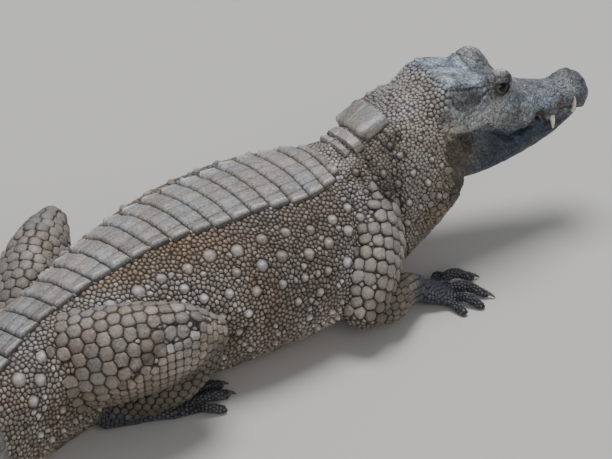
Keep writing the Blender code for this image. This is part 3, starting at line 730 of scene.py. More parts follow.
points, normals = read_both(skin.data)
local = to_skull(points)
folded = mirrored(local)
on_head = fade(local[:, 0], -34, -14) * (folded[:, 1] < 75)
lift = np.zeros(len(points))
for centre, radii, height in HEAD_BUMPS:
    lift += height * bump(folded, centre, radii)
for line, width, depth in HEAD_GROOVES:
    lift -= depth * np.exp(-(off_line(folded, line) / width) ** 2)
far = off_line(folded, MOUTH)
lift += -2.8 * np.exp(-(far / 1.9) ** 2) + 0.9 * np.exp(-((far - 4.6) / 2.2) ** 2)
table = fade(local[:, 0], 0, 6) * (1 - fade(local[:, 0], 50, 60)) * fade(local[:, 2], 51, 55)
lift += table * (0.55 * noise(local, 6.0, 3) + 0.45 * noise(local, 3.0, 4)
                 - 0.8 * np.exp(-(folded[:, 1] / 16) ** 2))
crown = fade(local[:, 2], 20, 34) * fade(local[:, 0], 60, 80)
lift += crown * (0.42 * noise(local, 4.6, 5) + 0.26 * noise(local, 2.6, 6))
brow = bump(folded, (71, 36, 65), (15, 14, 9))
lift += brow * np.sin(local[:, 0] * 1.05 + folded[:, 1] * 0.35 + 2.0 * noise(local, 7.0, 7))
lift += fade(local[:, 0], -5, 10) * (0.4 * noise(local, 7.0, 8) + 0.34 * noise(local, 3.0, 9))
jaw_side = fade(-local[:, 2], 6, 14) * fade(local[:, 0], 0, 20)
lift += jaw_side * (0.4 * noise(local * np.array([0.5, 1, 1]), 4.0, 10))
outward = SKULL_AXES[1] * np.sign(local[:, 1:2])
points = points + normals * (lift * on_head * MM)[:, None]
for centre, radii, push in HEAD_PUSHES:
    share = bump(folded, centre, radii)[:, None] * MM
    points = points + share * (push[0] * SKULL_AXES[0] + push[1] * outward + push[2] * SKULL_AXES[2])
write_points(skin.data, above_floor(points))
print("head forms on", int((on_head > 0).sum()), "points")

# %% [markdown]
# ## Folds of loose hide
#
# Where a leg bends or the neck turns, hide lies in folds. A fold is a groove with a soft roll beside it. Their
# lines are given in the body's own measures, distance along the spine and angle round it, or along a limb.

# %% Folds


def on_side(angles, side):
    """Angles in degrees on the right side, or their mirror images on the left one."""
    return angles if side > 0 else 180 - angles


def finely(places, side, many):
    """The distances and angles, in radians, of a line through some places, read at 'many' even steps."""
    t, where = np.linspace(0, 1, many), np.linspace(0, 1, len(places))
    s, a = (np.interp(t, where, column) for column in np.array(places, float).T)
    return s, np.radians(on_side(a, side))


def body_line(places, side):
    """A line over the trunk through (distance, angle in degrees) places."""
    return body(*finely(places, side, 24), COAT)


def limb_line(path, places, side):
    """A line over a limb through (share along it, angle in degrees) places."""
    return limb(path, side, *finely(places, side, 16), LIMB_COAT)


# Folds: places along them, width and depth in metres. A place is a distance, or a share of the limb, and an angle
# on the right side, where 180 degrees is level; the left side takes the mirror image.
BODY_FOLDS = (
    (((0.238, 120), (0.225, 128), (0.205, 152), (0.178, 178), (0.172, 220)), 0.0052, 0.0068),
    (((0.176, 124), (0.17, 140), (0.16, 160)), 0.0045, 0.0034),
    (((0.196, 122), (0.19, 136), (0.176, 156)), 0.004, 0.003),
    (((0.14, 128), (0.118, 146), (0.098, 170)), 0.0045, 0.003),
    (((0.262, 140), (0.252, 168), (0.246, 200)), 0.005, 0.0022),
    (((-0.286, 128), (-0.255, 121), (-0.22, 122)), 0.005, 0.003),
)
THIGH_FOLDS = (
    (((0.8, 132), (0.67, 150), (0.57, 168), (0.48, 190)), 0.0042, 0.0048),
    (((0.74, 96), (0.64, 122), (0.54, 134), (0.45, 152)), 0.0034, 0.0022),
    (((0.78, 122), (0.69, 134), (0.63, 148), (0.49, 164)), 0.0036, 0.0028),
)
ARM_FOLDS = (
    (((0.3, 60), (0.36, 110), (0.4, 160)), 0.003, 0.002),
    (((0.46, 60), (0.52, 110), (0.56, 160)), 0.003, 0.002),
)
folds = []  # line, width, depth in metres
for side in SIDES.values():
    folds += [(body_line(places, side), width, depth) for places, width, depth in BODY_FOLDS]
    for path, table in ((thigh_of(side), THIGH_FOLDS), (arm_of(side), ARM_FOLDS)):
        folds += [(limb_line(path, places, side), width, depth) for places, width, depth in table]
points, normals = read_both(skin.data)
lift = np.zeros(len(points))
for line, width, depth in folds:
    far = off_line(points, line)
    lift += -depth * np.exp(-(far / width) ** 2) + 0.35 * depth * np.exp(-((far - 2 * width) / width) ** 2)
lift += (1 - on_head) * (0.0008 * noise(points, 0.03, 11) + 0.0006 * noise(points, 0.014, 12))
points = points + normals * lift[:, None]
write_points(skin.data, above_floor(points))
print(len(folds), "folds")

# %% [markdown]
# ## Eyes, lids, nostrils and teeth
#
# A reptile's eye is a ball in a socket with a lid drawn round it. A ball a little larger than the eye is added
# to the skin as the lid, an almond is cut out of it for the opening, and room for the eyeball is hollowed out
# behind. That leaves a lid with real thickness, which throws its own shadow on the eye.

# %% Balls, almonds and spikes
EYE_PLACE, EYE_RADIUS = np.array((71.0, 33.0, 48.5)), 11.5
EYE_AXIS = unit(np.array((0.1, 0.89, 0.36)))


def ball_points(centre, radii, rings=24, sides=32, turn=np.eye(3)):
    """Rings of points of an ellipsoid, closed by small flat ends: a half circle turned about an axis."""
    a = np.linspace(0.06, pi - 0.06, rings)[:, None]
    b = np.linspace(0, 2 * pi, sides, endpoint=False)[None, :]
    unit_ball = np.stack([np.cos(a) + 0 * b, np.sin(a) * np.cos(b), np.sin(a) * np.sin(b)], axis=-1)
    return (unit_ball * np.array(radii, float)) @ turn + np.array(centre, float)


def axes_along(ahead, up=(0, 0, 1)):
    """Three unit vectors as rows: the given direction, one level across it, and one square to both."""
    ahead = unit(np.array(ahead, float))
    across = unit(np.cross(np.array(up, float), ahead))
    return np.stack([ahead, across, np.cross(ahead, across)])


def almond(centre, axis):
    """A prism for the eye's opening: flat above, where the brow cuts it, and drawn down to a blunt point."""
    frame_axes = axes_along(axis)
    b = np.linspace(0, 2 * pi, 40, endpoint=False)
    across, upward = 11.0 * np.cos(b), np.sin(b)
    upward = np.where(upward > 0, 3.6, 9.2) * upward * (1 - 0.55 * np.abs(np.cos(b)) ** 2)
    steps = np.array([4.0, 16.0])[:, None]
    wide = np.array([0.92, 1.25])[:, None]
    return (np.array(centre) + steps[..., None] * frame_axes[0] + (wide * across)[..., None] * frame_axes[1]
            + (wide * upward)[..., None] * frame_axes[2])


def spike(base, tip, radius, bend, rings=10, sides=14, blunt=0.5):
    """A curved spike from base to tip: a parabola for its axis, thinning as (1 - t)^blunt."""
    base, tip, bend = (np.array(v, float) for v in (base, tip, bend))
    t = (1 - (1 - np.linspace(0, 0.985, rings)) ** 1.4)
    centre = base + t[:, None] * (tip - base) + (4 * t * (1 - t))[:, None] * bend
    ahead = unit(np.gradient(centre, axis=0))
    level = unit(np.cross(ahead, np.array([0.31, 0.17, 0.93])))
    up = np.cross(ahead, level)
    b = np.linspace(0, 2 * pi, sides, endpoint=False)
    r = (radius * (1 - t) ** blunt)[:, None, None]
    b = b[None, :, None]
    return centre[:, None] + r * (level[:, None] * np.cos(b) + up[:, None] * np.sin(b))


# %% Lids, sockets and nostrils
lids, holes = [], []
for word, side in SIDES.items():
    flip = np.array([1, -side, 1])
    centre, axis = EYE_PLACE * flip, EYE_AXIS * flip
    lids.append(tube("lid", from_skull(ball_points(centre, (12.7, 12.7, 12.7), 30, 40))))
    holes.append(tube("opening", from_skull(almond(centre, axis))))
    holes.append(tube("socket", from_skull(ball_points(centre, (11.7, 11.7, 11.7), 30, 40))))
    turn = axes_along((0.72, -side * 0.6, 0.2))
    nostril = ball_points(np.array((180, 12.5, 45.0)) * flip, (5.5, 1.5, 3.2), 12, 16, turn)
    holes.append(tube("nostril", from_skull(nostril)))
weld(skin, lids)
weld(skin, holes, "DIFFERENCE")
print("skin:", len(skin.data.vertices), "points,", len(skin.data.polygons), "faces")

# %% Eyeballs, teeth and claws


def joined(name, surfaces):
    """Several closed tubes as one piece, riding on the body."""
    pieces = [tube(name, s) for s in surfaces]
    mesh = bpy.data.meshes.new(name)
    work = bmesh.new()
    for piece in pieces:
        work.from_mesh(piece.data)
        bpy.data.objects.remove(piece)
    work.to_mesh(mesh)
    work.free()
    mesh.shade_smooth()
    done = add_object(name, mesh)
    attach(done, "root")
    return done


LOWER_TOOTH = ((183, 23.0, 4), (178, 30.0, 24.5), 2.8, 4.8)
UPPER_TOOTH = ((149.5, 32.0, 5.0), (151, 36.5, -9.5), 3.6, 2.0)
eyes, teeth, claws = {}, [], []
for word, side in SIDES.items():
    flip = np.array([1, -side, 1])
    eyes[word] = joined("eyeball_" + word, [from_skull(ball_points(
        EYE_PLACE * flip, (EYE_RADIUS,) * 3, 40, 48, axes_along(EYE_AXIS * flip)))])
    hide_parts("eye_" + word)
    for base, tip, radius, bend in (LOWER_TOOTH, UPPER_TOOTH):
        rings = spike(base * flip, tip * flip, radius, np.array([0, bend, 0]) * flip * 0.5, 12, 16, 0.5)
        teeth.append(from_skull(rings))
    digits = [(f"claw_hind_{k + 1}_{word}", (*splayed(t[:3], side), *t[3:])) for k, t in enumerate(TOES) if t[4]]
    digits += [(f"claw_front_{k + 1}_{word}", t) for k, t in enumerate(FINGERS) if t[4]]
    for node_name, (_, knuckle, end, thick, _) in digits:
        knuckle, end = np.array(knuckle), np.array(end)
        ahead = unit((end - knuckle) * np.array([1, 1, 0]))
        base = (end + ahead * 0.0002 + np.array([0, 0, 0.0012])) * np.array([1, side, 1])
        point = (end + ahead * CLAW_LENGTH) * np.array([1, side, 1])
        point[2] = 0.001
        nail = spike(base, point, 0.44 * thick, (0, 0, 0.0016), 12, 14, 0.6)
        claw = joined(node_name.replace("claw", "nail"), [nail])
        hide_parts(node_name)
        claws.append(claw)
tooth_row = joined("teeth", teeth)
print(len(teeth), "teeth,", len(claws), "claws")

# %% [markdown]
# ## Markings
#
# The hide is painted by place, and skin and scales take their colour from one function, so that they carry the
# same markings: grey over the armour, brown on the flank, paler on the belly, blue-grey on the feet and the jaw.
# Colours are worked out per point and kept as an attribute. A second attribute, rise, is 0 in the grooves
# between scales and 1 on top of them, and the material uses it to darken the grooves.

# %% Colour by place


def srgb(r, g, b):
    """A screen colour (0 to 255) as linear light."""
    c = np.array([r, g, b]) / 255
    return np.where(c <= 0.04045, c / 12.92, ((c + 0.055) / 1.055) ** 2.4)


def body_place(points):
    """Distance along the spine and angle in degrees (0 left, 90 top) of any points, from the spine's nearest
    place."""
    s = np.linspace(TAIL_TIP, NECK_END, 320)
    x, y, a = spine(s)
    best, low = np.zeros(len(points), int), np.full(len(points), 1e9)
    for k in range(len(s)):
        far = (points[:, 0] - x[k]) ** 2 + (points[:, 1] - y[k]) ** 2
        closer = far < low
        best[closer], low[closer] = k, far[closer]
    width, top, bottom, share = along(TRUNK, s[best])[:, :4].T
    off = -(points[:, 0] - x[best]) * np.sin(a[best]) + (points[:, 1] - y[best]) * np.cos(a[best])
    middle = bottom + (top - bottom) * share
    up = points[:, 2] - middle
    reach = np.where(up > 0, top - middle, middle - bottom)
    return s[best], np.degrees(np.arctan2(up / reach, off / width)) % 360


def limb_share(points, names):
    """1 on the named limb pieces, fading softly to 0 away from them."""
    share = np.zeros(len(points))
    for name, word, path, side in limb_list():
        if name.rstrip("12345") in names:
            line = path[:, :3] * np.array([1, side, 1])
            size = path[:, 3:5].max()
            share = np.maximum(share, 1 - fade(off_line(points, line) / size, 0.95, 1.55))
    return share


def crease_shade_and_dirt(points):
    """1 along the bottom of the deeper folds, for painted shade and dirt there, fading to 0 beside them."""
    share = np.zeros(len(points))
    for line, width, depth in folds:
        if depth > 0.0025:
            close = np.flatnonzero(np.abs(points - line.mean(axis=0)).max(axis=1) < 0.09)
            soft = min(depth / 0.0055, 1.0) * np.exp(-(off_line(points[close], line) / (0.48 * width)) ** 2)
            share[close] = np.maximum(share[close], soft)
    return share


# Where the belts of armour lie: distance, middle and half width in degrees.
ARMOUR = ((-0.97, 90, 32), (-0.45, 90, 31), (-0.4, 88, 29), (-0.33, 82, 24), (-0.27, 78, 20), (-0.2, 79, 21),
          (-0.15, 80, 22), (-0.1, 82, 22), (-0.03, 88, 23), (0.02, 89, 23), (0.07, 91, 25), (0.1, 91, 25),
          (0.13, 91, 23), (0.155, 90, 19), (0.18, 86, 16), (0.2, 81, 16), (0.25, 81, 18), (0.3, 84, 18))


print("armour:", 2 * ARMOUR[8][2], "degrees wide")

# %% Colours of the head


def mixed(colour, other, share):
    """Linear colours moved towards a screen colour by a share from 0 to 1."""
    return colour + (srgb(*other) - colour) * np.asarray(share)[:, None]


def oval(local, centre, radii, inner=0.5, outer=1.0):
    """A patch on the side of the head, by x and z in the skull's frame: 1 inside, fading out between two shares
    of its radii."""
    off = (local[:, [0, 2]] - np.array(centre)) / np.array(radii)
    return 1 - fade(np.hypot(*off.T), inner, outer)


def paint_skull(local):
    """The colours of head and jaws at places in the skull's frame."""
    mirror = mirrored(local)
    x, side, z = mirror.T
    colour = np.tile(srgb(136, 142, 148), (len(local), 1))
    patches = noise(local, 16.0, 51) + 0.7 * noise(local, 6.0, 52) + 0.5 * noise(local, 2.6, 55)
    cloud = noise(local, 13.0, 53) + 0.7 * noise(local, 5.0, 54)
    plain_top = fade(z, 52.5, 54.5) * (1 - fade(x, 50, 60)) * fade(x, 0, 5) * (1 - fade(side, 38, 42))
    jaw = 1 - fade(z + 0.1 * (x - 90) * (x < 60), -6, 6)
    front = fade(x, 20, 70)
    jaw_cloud = fade(noise(local, 5.0, 58) + noise(local, 2.4, 59), -0.1, 0.7)
    for other, share in (
        ((86, 90, 96), fade(patches, 0.05, 0.85) * 0.65),
        ((172, 184, 194), fade(-patches, 0.1, 1.0) * fade(z, 6, 30) * 0.65),
        ((194, 196, 194), bump(mirror, (46, 54, 22), (38, 20, 14)) * 0.9),  # cheek
        ((174, 190, 203), plain_top),  # skull table
        ((122, 124, 130), plain_top * fade(cloud, 0.0, 0.7) * 0.8),
        ((226, 232, 238), plain_top * fade(-cloud, 0.25, 0.9) * 0.8),
        ((112, 104, 100), bump(mirror, (72, 36, 67), (17, 14, 8)) * 0.8),  # lid over the eye
        ((214, 218, 220), bump(mirror, (73, 32, 69), (14, 14, 5.5)) * 0.95),
        # painted shade under the overhang of the lid's edge
        ((46, 40, 36), bump(mirror, (80, 41, 61.5), (16, 10, 5.5))),
        ((96, 114, 130), oval(local, (98, 36), (16, 11), 0.5, 1.1) * fade(side, 22, 30) * 0.55),
        ((96, 88, 72), jaw * (1 - front)),
        ((60, 74, 94), jaw * front),
        ((26, 30, 40), jaw * jaw_cloud * 0.6),
        ((188, 182, 168), oval(local, (6, 12), (20, 11)) * fade(side, 40, 50) * 0.75),  # corner of the mouth
        ((92, 76, 50), oval(local, (134, 9), (11, 6), 0.4, 1.1) * fade(side, 20, 30) * 0.8),  # lips
        ((126, 116, 84), oval(local, (164, 14), (9, 9), 0.4, 1.1) * fade(side, 14, 22) * 0.6),
        ((82, 86, 98), fade(x, 176, 196) * 0.8),  # nose and nostrils
        ((140, 112, 104), bump(mirror, (180, 12, 44), (8, 6, 6)) * 0.6),
        ((56, 58, 65), bump(mirror, (26, 50, 46), (26, 12, 9)) * 0.85),  # ear flap
        # painted shade round the eye's opening, under the brow
        ((40, 34, 30), oval(local, (71, 50), (14, 10), 0.7, 1.15) * fade(side, 34, 40) * 0.7),
    ):
        colour = mixed(colour, other, share)
    return colour


print("skull's grey:", srgb(136, 142, 148).round(3))

# %% Colours of the body


def paint(points):
    """The hide's colour at any points: one layer after another, each with a soft mask."""
    s, a = body_place(points)
    top = np.sin(np.radians(a))
    local = to_skull(points)
    wave = noise(points, 0.06, 21) * 0.6 + noise(points, 0.024, 22) * 0.4
    middle, half = along(ARMOUR, s).T
    armour = 1 - fade(np.abs(a - middle) / half, 1.0, 1.1)
    flank = fade(top, -0.2, 0.2) * (1 - armour) * (s > -0.36)
    rear_flank = (1 - fade(s, -0.08, 0.03)) * fade(s, -0.34, -0.24)
    neck_side = fade(s, 0.17, 0.21) * (1 - fade(s, 0.235, 0.27)) * fade(-top, -0.6, 0.3)
    low_thigh = limb_share(points, ("thigh",)) * (1 - fade(points[:, 2], 0.066, 0.108))
    colour = np.tile(srgb(116, 106, 95), (len(points), 1))
    for other, share in (
        ((148, 144, 139), armour),
        ((122, 98, 72), flank * rear_flank * (0.75 + 0.45 * wave)),
        ((104, 95, 86), flank * fade(s, -0.06, 0.04) * 0.85),
        ((128, 118, 98), 1 - fade(top, -0.8, -0.25)),  # belly, with dark blotches
        ((62, 54, 48), (1 - fade(top, -0.7, -0.2)) * fade(wave, 0.1, 0.35) * 0.8),
        ((128, 120, 110), fade(s, 0.16, 0.2)),  # neck
        ((158, 155, 150), fade(s, 0.2, 0.24) * fade(top, 0.55, 0.9) * (0.75 + 0.4 * wave)),
        ((112, 98, 76), neck_side * 0.7),
        ((92, 90, 92), fade(s, 0.245, 0.28) * fade(-top, 0.0, 0.5) * 0.8),
        ((92, 82, 72), (1 - fade(s, -0.62, -0.36)) * fade(wave, -0.1, 0.3) * 0.5),  # tail
        ((132, 126, 119), limb_share(points, ("thigh", "upper_arm")) * 0.85),
        ((94, 84, 65), low_thigh * 0.9),
        ((78, 70, 58), limb_share(points, ("shank",)) * 0.9),
        ((94, 87, 76), limb_share(points, ("forearm",)) * 0.9),
        ((58, 64, 75), limb_share(points, ("hind_foot", "hand", "toe", "finger")) * 0.9),
        ((50, 50, 54), np.exp(-((s - 0.174) / 0.013) ** 2 - ((a - 142) / 9) ** 2) * 0.85),  # two dark spots
        ((50, 50, 54), np.exp(-((s - 0.19) / 0.008) ** 2 - ((a - 116) / 5) ** 2) * 0.75),
    ):
        colour = mixed(colour, other, share)
    head = fade(local[:, 0], -12, -2) * (np.abs(local[:, 1]) < 75) * fade(local[:, 2], -80, -60)
    colour = colour + (paint_skull(local) - colour) * head[:, None]
    # painted shade and dirt along the deeper folds, and a random tone
    shade = (1 - 0.6 * crease_shade_and_dirt(points)) * (1 + 0.14 * wave + 0.1 * noise(points, 0.011, 23))
    return np.clip(colour * shade[:, None], 0, 1)


def head_share(points):
    """1 where the skin itself shows, on the face and jaws, 0 where scales cover it. The border runs down from
    the rear rim of the skull table, a little behind the jaw's end, and forward again under the throat."""
    local = to_skull(points)
    border = np.interp(local[:, 2], [-75, -58, -40, -20, 0, 20, 40, 56], [34, 12, 3, -4, -6, -7, 0, 2])
    return fade(local[:, 0] - border, -3, 2) * (np.abs(local[:, 1]) < 78)


# %% Attributes


def set_paint(mesh, colours, rise, tone):
    """Store the colour, the height above the groove and the scale's own tone on the points."""
    rgba = np.ones((len(colours), 4), np.float32)
    rgba[:, :3] = colours
    mesh.attributes.new("paint", "FLOAT_COLOR", "POINT").data.foreach_set("color", rgba.ravel())
    mesh.attributes.new("rise", "FLOAT", "POINT").data.foreach_set("value", np.asarray(rise, np.float32))
    mesh.attributes.new("tone", "FLOAT", "POINT").data.foreach_set("value", np.asarray(tone, np.float32))


def corner_uv(mesh, name, per_point):
    """A UV map from one place per point."""
    corner = np.empty(len(mesh.loops), np.int32)
    mesh.loops.foreach_get("vertex_index", corner)
    layer = mesh.uv_layers.new(name=name)
    layer.uv.foreach_set("vector", per_point[corner].astype(np.float32).ravel())


skin.data.shade_smooth()
points = read_points(skin.data)
local = to_skull(points)
folded = mirrored(local)
# painted shade, with some dirt, along the parting of the lips and the head's grooves: it lowers rise there, so
# the material darkens them
groove_shade_and_dirt = np.exp(-(np.maximum(off_line(folded, MOUTH) - 1.4, 0) / 1.2) ** 2)
for line, width, depth in HEAD_GROOVES:
    if depth > 0:
        off = np.maximum(off_line(folded, line) - 0.6 * depth, 0) / (0.65 * width)
        dark = min(depth / 3.6, 0.75) * np.exp(-off ** 2) * (0.8 + 0.3 * noise(local, 4.0, 57))
        groove_shade_and_dirt = np.maximum(groove_shade_and_dirt, dark)
rise = head_share(points) * (1 - groove_shade_and_dirt)
set_paint(skin.data, paint(points), rise, 0.4 * noise(points, 0.006, 31))
print("painted the skin")

# %% [markdown]
# ## Scales: where they stand
#
# Crocodile hide is not one pattern. Flanks and neck carry small granules with keeled bumps between them, the
# limbs have rows of larger overlapping scales, and the belly is paved with flat squares. Each kind is set out as
# staggered rows measured along the surface, so the spacing is even wherever the body swells. All kinds then go
# into one list, because where two kinds meet they have to make room for each other.

# %% Rows of places
rng = np.random.default_rng(7)
ROW = 0.87  # the step between rows, as a share of the spacing within them


def rows(surface, starts, low, high, size, jitter=0.2, ring=False):
    """Staggered rows: for every start, the arc between two angles is measured and divided evenly."""
    angles = np.linspace(low, high, 73)
    grid = surface(starts[:, None], angles[None, :])
    arcs = np.linalg.norm(np.diff(grid, axis=1), axis=2).cumsum(axis=1)
    out = []
    for k, start in enumerate(starts):
        arc = np.concatenate([[0], arcs[k]])
        many = max(2, int(round(arc[-1] / size)))
        if ring:  # all round: every second row is shifted by half a step
            shift = 0.5 if k % 2 else 0.0
        else:
            shift = 0.75 if k % 2 else 0.25
        at = (np.arange(many) + shift) / many * arc[-1] + rng.uniform(-jitter, jitter, many) * size
        place = np.full(many, start) + rng.uniform(-jitter, jitter, many) * size * 0.8
        out.append(np.column_stack([place, np.interp(at, arc, angles)]))
    return np.concatenate(out)


# A surface's rectangle on the unwrap: left, lower edge, width, height, and the range of distances it holds.
BODY_BAKE = (0.02, 0.02, 0.6, 0.94, TAIL_TIP - 0.01, NECK_END + 0.01)
families = []  # what the scales are, one entry for each kind and place


def unwrapped(s, a, bake=BODY_BAKE):
    """Places on the unwrap of a surface, from the distance along it and the angle round it in radians."""
    return np.column_stack([bake[0] + bake[2] * (s - bake[4]) / (bake[5] - bake[4]),
                            bake[1] + bake[3] * (a / (2 * pi) % 1.0)])


def family(group, kind, places, surface, step, size, height, keel=0.0, rank=1, bake=BODY_BAKE):
    """Add places on a surface: 'size' is the spacing, 'rank' decides who stays where two kinds collide, and
    'bake' is the rectangle that this surface has on the unwrap."""
    s, a = places.T
    here = surface(s, a)
    ahead = surface(s + step, a) - here
    every = dict(group=group, kind=kind, size=np.multiply(size, 0.5), height=height, keel=keel, rank=rank)
    every = {key: np.broadcast_to(value, len(s)) for key, value in every.items()}
    families.append(dict(here=here, ahead=unit(ahead), flat=unwrapped(s, a, bake), **every))


def on_body(s, a):
    """Points of the body at the depth where the coat begins."""
    return body(s, a, COAT)


def armour_edge(s, side):
    """The angle of the armour's edge on the right (side 1) or the left (-1), in radians."""
    middle, half = along(ARMOUR, s).T
    return np.radians(middle + side * half)


def body_family(group, kind, side, low, high, first, last, size, height, jitter=0.2, clear=True, rank=1):
    """Rows over a stretch of one side of the body between two angles in degrees, left out under the armour."""
    first, last = sorted(on_side(angle, side) for angle in (first, last))
    places = rows(on_body, np.arange(low, high, size * ROW), radians(first), radians(last), size, jitter)
    if clear:
        room = 0.4 * size / 0.12
        under = ((places[:, 1] < armour_edge(places[:, 0], 1) + room)
                 & (places[:, 1] > armour_edge(places[:, 0], -1) - room) & (places[:, 0] < 0.152))
        places = places[~under]
    family(group, kind, places, on_body, 0.002, size, height, rank=rank)


def scatter(group, side, s, a, size, height, keel, rank):
    """Bumps at distances and angles in degrees on one side of the body."""
    places = np.column_stack([s, np.radians(on_side(a, side))])
    family(group, "bump", places, on_body, 0.002, size, height, keel, rank)


# %% Scales of the trunk and the neck
TAIL_PLATES_END = -0.356
for name, side in SIDES.items():
    flank, neck = "flank_" + name, "neck_" + name
    body_family(flank, "granule", side, TAIL_PLATES_END, 0.18, 90, 214, 0.0053, 0.0013, 0.3)
    body_family(neck, "fine", side, 0.16, 0.3, 90, 216, 0.0039, 0.0006, 0.34, clear=False)
    body_family(neck, "flat", side, 0.222, 0.3, 168, 222, 0.0095, 0.0016, clear=False, rank=3)
    # keeled bumps on the flank, in rows that follow the belts
    bumps = []
    for row, (angle, size) in enumerate(((17, 15.5), (30, 14.5), (43, 13.5), (56, 12.0), (69, 11.0), (82, 10.0))):
        s = np.arange(-0.315 + 0.015 * (row % 2), 0.15, 0.031)
        edge = np.clip(on_side(np.degrees(armour_edge(s, side)), side), 108, 118)
        a = edge + angle + rng.uniform(-1.6, 1.6, len(s))
        s = s + rng.uniform(-0.0022, 0.0022, len(s))
        keep = rng.random(len(s)) < (0.95 if row < 3 else 0.8)
        bumps.append(np.column_stack([s, a, size * rng.uniform(0.85, 1.1, len(s))])[keep])
    s, a, size = np.concatenate(bumps).T
    scatter(flank, side, s, a, size * MM, 0.0026, 0.0018, 5)
    # smaller ones scattered between
    s = rng.uniform(-0.32, 0.17, 150)
    a = rng.uniform(122, 210, 150)
    scatter(flank, side, s, a, rng.uniform(0.0062, 0.009, 150), 0.0022, 0.0008, 4)
    # cone-shaped bumps on the neck, in loose rows along it
    s, a = (v.ravel() for v in np.meshgrid(np.arange(0.174, 0.296, 0.019), (119, 133, 147, 160, 174, 190)))
    s, a = s + rng.uniform(-0.005, 0.005, len(s)), a + rng.uniform(-4, 4, len(s))
    scatter(neck, side, s, a, rng.uniform(0.0065, 0.0115, len(s)), 0.0036, 0.0004, 5)
belly = np.arange(TAIL_PLATES_END, 0.24, 0.0125)
places = rows(on_body, belly, radians(216), radians(324), 0.0135, 0.03, ring=True)
family("belly", "flat", places, on_body, 0.002, 0.014, 0.0014, rank=3)
print(sum(len(f["here"]) for f in families), "places on trunk and neck")

# %% Scales of the limbs
LIMB_SCALES = {  # spacing in metres, height, kind, for each limb piece
    "thigh": (0.0142, 0.0026, "leaf"), "shank": (0.0092, 0.0018, "leaf"), "hind_foot": (0.0056, 0.0012, "leaf"),
    "upper_arm": (0.014, 0.0028, "leaf"), "forearm": (0.0086, 0.0018, "leaf"), "hand": (0.0054, 0.0012, "leaf"),
    "toe": (0.0042, 0.0009, "granule"), "finger": (0.004, 0.0009, "granule"),
}
for index, (name, word, path, side) in enumerate(limb_list()):
    size, height, kind = LIMB_SCALES[name.rstrip("12345")]

    def on_limb(t, a, path=path, side=side, inset=DIGIT_COAT if is_digit(name) else LIMB_COAT):
        return limb(path, side, t, a, inset)
    span = limb_span(path)
    leafy = kind == "leaf"  # these are wider than long, and overlap towards the foot
    starts = np.arange(0.03, 0.975, size * (0.8 if leafy else ROW) / span)
    places = rows(on_limb, starts, 0.0, 2 * pi, size, 0.12, ring=True)
    keel = 0.0005 if leafy and size > 0.009 else 0.0
    bake = (0.66, 0.02 + 0.032 * index, 0.3, 0.028, 0.0, 1.0)
    piece = "legs_" + word
    if name == "thigh":  # broad scales above the fold behind the knee, smaller ones below it
        piece = "thigh_" + word

        def below(places, side=side):
            lateral = places[:, 1] if side > 0 else (pi - places[:, 1]) % (2 * pi)
            return (lateral > 2.3 + 3.15 * (0.8 - places[:, 0])) | (lateral < 0.2)
        places = places[~below(places)]
        small = rows(on_limb, np.arange(0.03, 0.975, 0.0076 / span), 0.0, 2 * pi, 0.0094, 0.08, ring=True)
        family(piece, "leaf", small[below(small)], on_limb, 0.004, 0.0094, 0.0013, 0.0003, 2, bake)
    family(piece, kind, places, on_limb, 0.004, size, height, keel, 3 if name == "thigh" else 2, bake)
print(sum(len(f["here"]) for f in families), "places with the limbs")

# %% [markdown]
# ## Scales: how they share the hide
#
# Every place is moved onto the skin. Places that fall inside another part of the body are dropped, and so is the
# lesser of two that stand too close. Each remaining scale may grow outward in every direction until it meets
# its neighbours' claims. The border between two scales of radius r and q, a distance d apart, is met in a
# direction e at (d^2 + r^2 - q^2) / (2 d.e), which is the power diagram. Where the skin is paved like this,
# every scale gets a polygon of its own shape and the grooves between them come out even.

# %% Sharing


def tree_of(points):
    """A tree that finds the nearest of the points quickly."""
    tree = KDTree(len(points))
    for k, place in enumerate(points):
        tree.insert(place, k)
    tree.balance()
    return tree


def picked(scales, mask):
    """The scales that the mask keeps."""
    return {key: value[mask] for key, value in scales.items()}


scales = {key: np.concatenate([f[key] for f in families]) for key in families[0]}
scales["root"], scales["normal"] = onto_skin(scales["here"])
step = scales["root"] - scales["here"]
outside = (step * scales["normal"]).sum(axis=1) < 0.003
near_by = np.linalg.norm(step, axis=1) < 0.007
scales = picked(scales, outside & near_by & (head_share(scales["root"]) < 0.5) & (scales["root"][:, 2] > 0.0002))
root, sizes, ranks = (scales[key] for key in ("root", "size", "rank"))
tree = tree_of(root)
alive = np.ones(len(root), bool)
for k in np.lexsort((rng.random(len(root)), -ranks)):
    if not alive[k]:
        continue
    for _, other, far in tree.find_range(root[k], sizes[k] + 0.006):
        if other != k and ranks[other] <= ranks[k] and far < 0.66 * (sizes[k] + sizes[other]):
            alive[other] = False
scales = picked(scales, alive)
print(len(scales["root"]), "scales stay")

# %% Filling the gaps


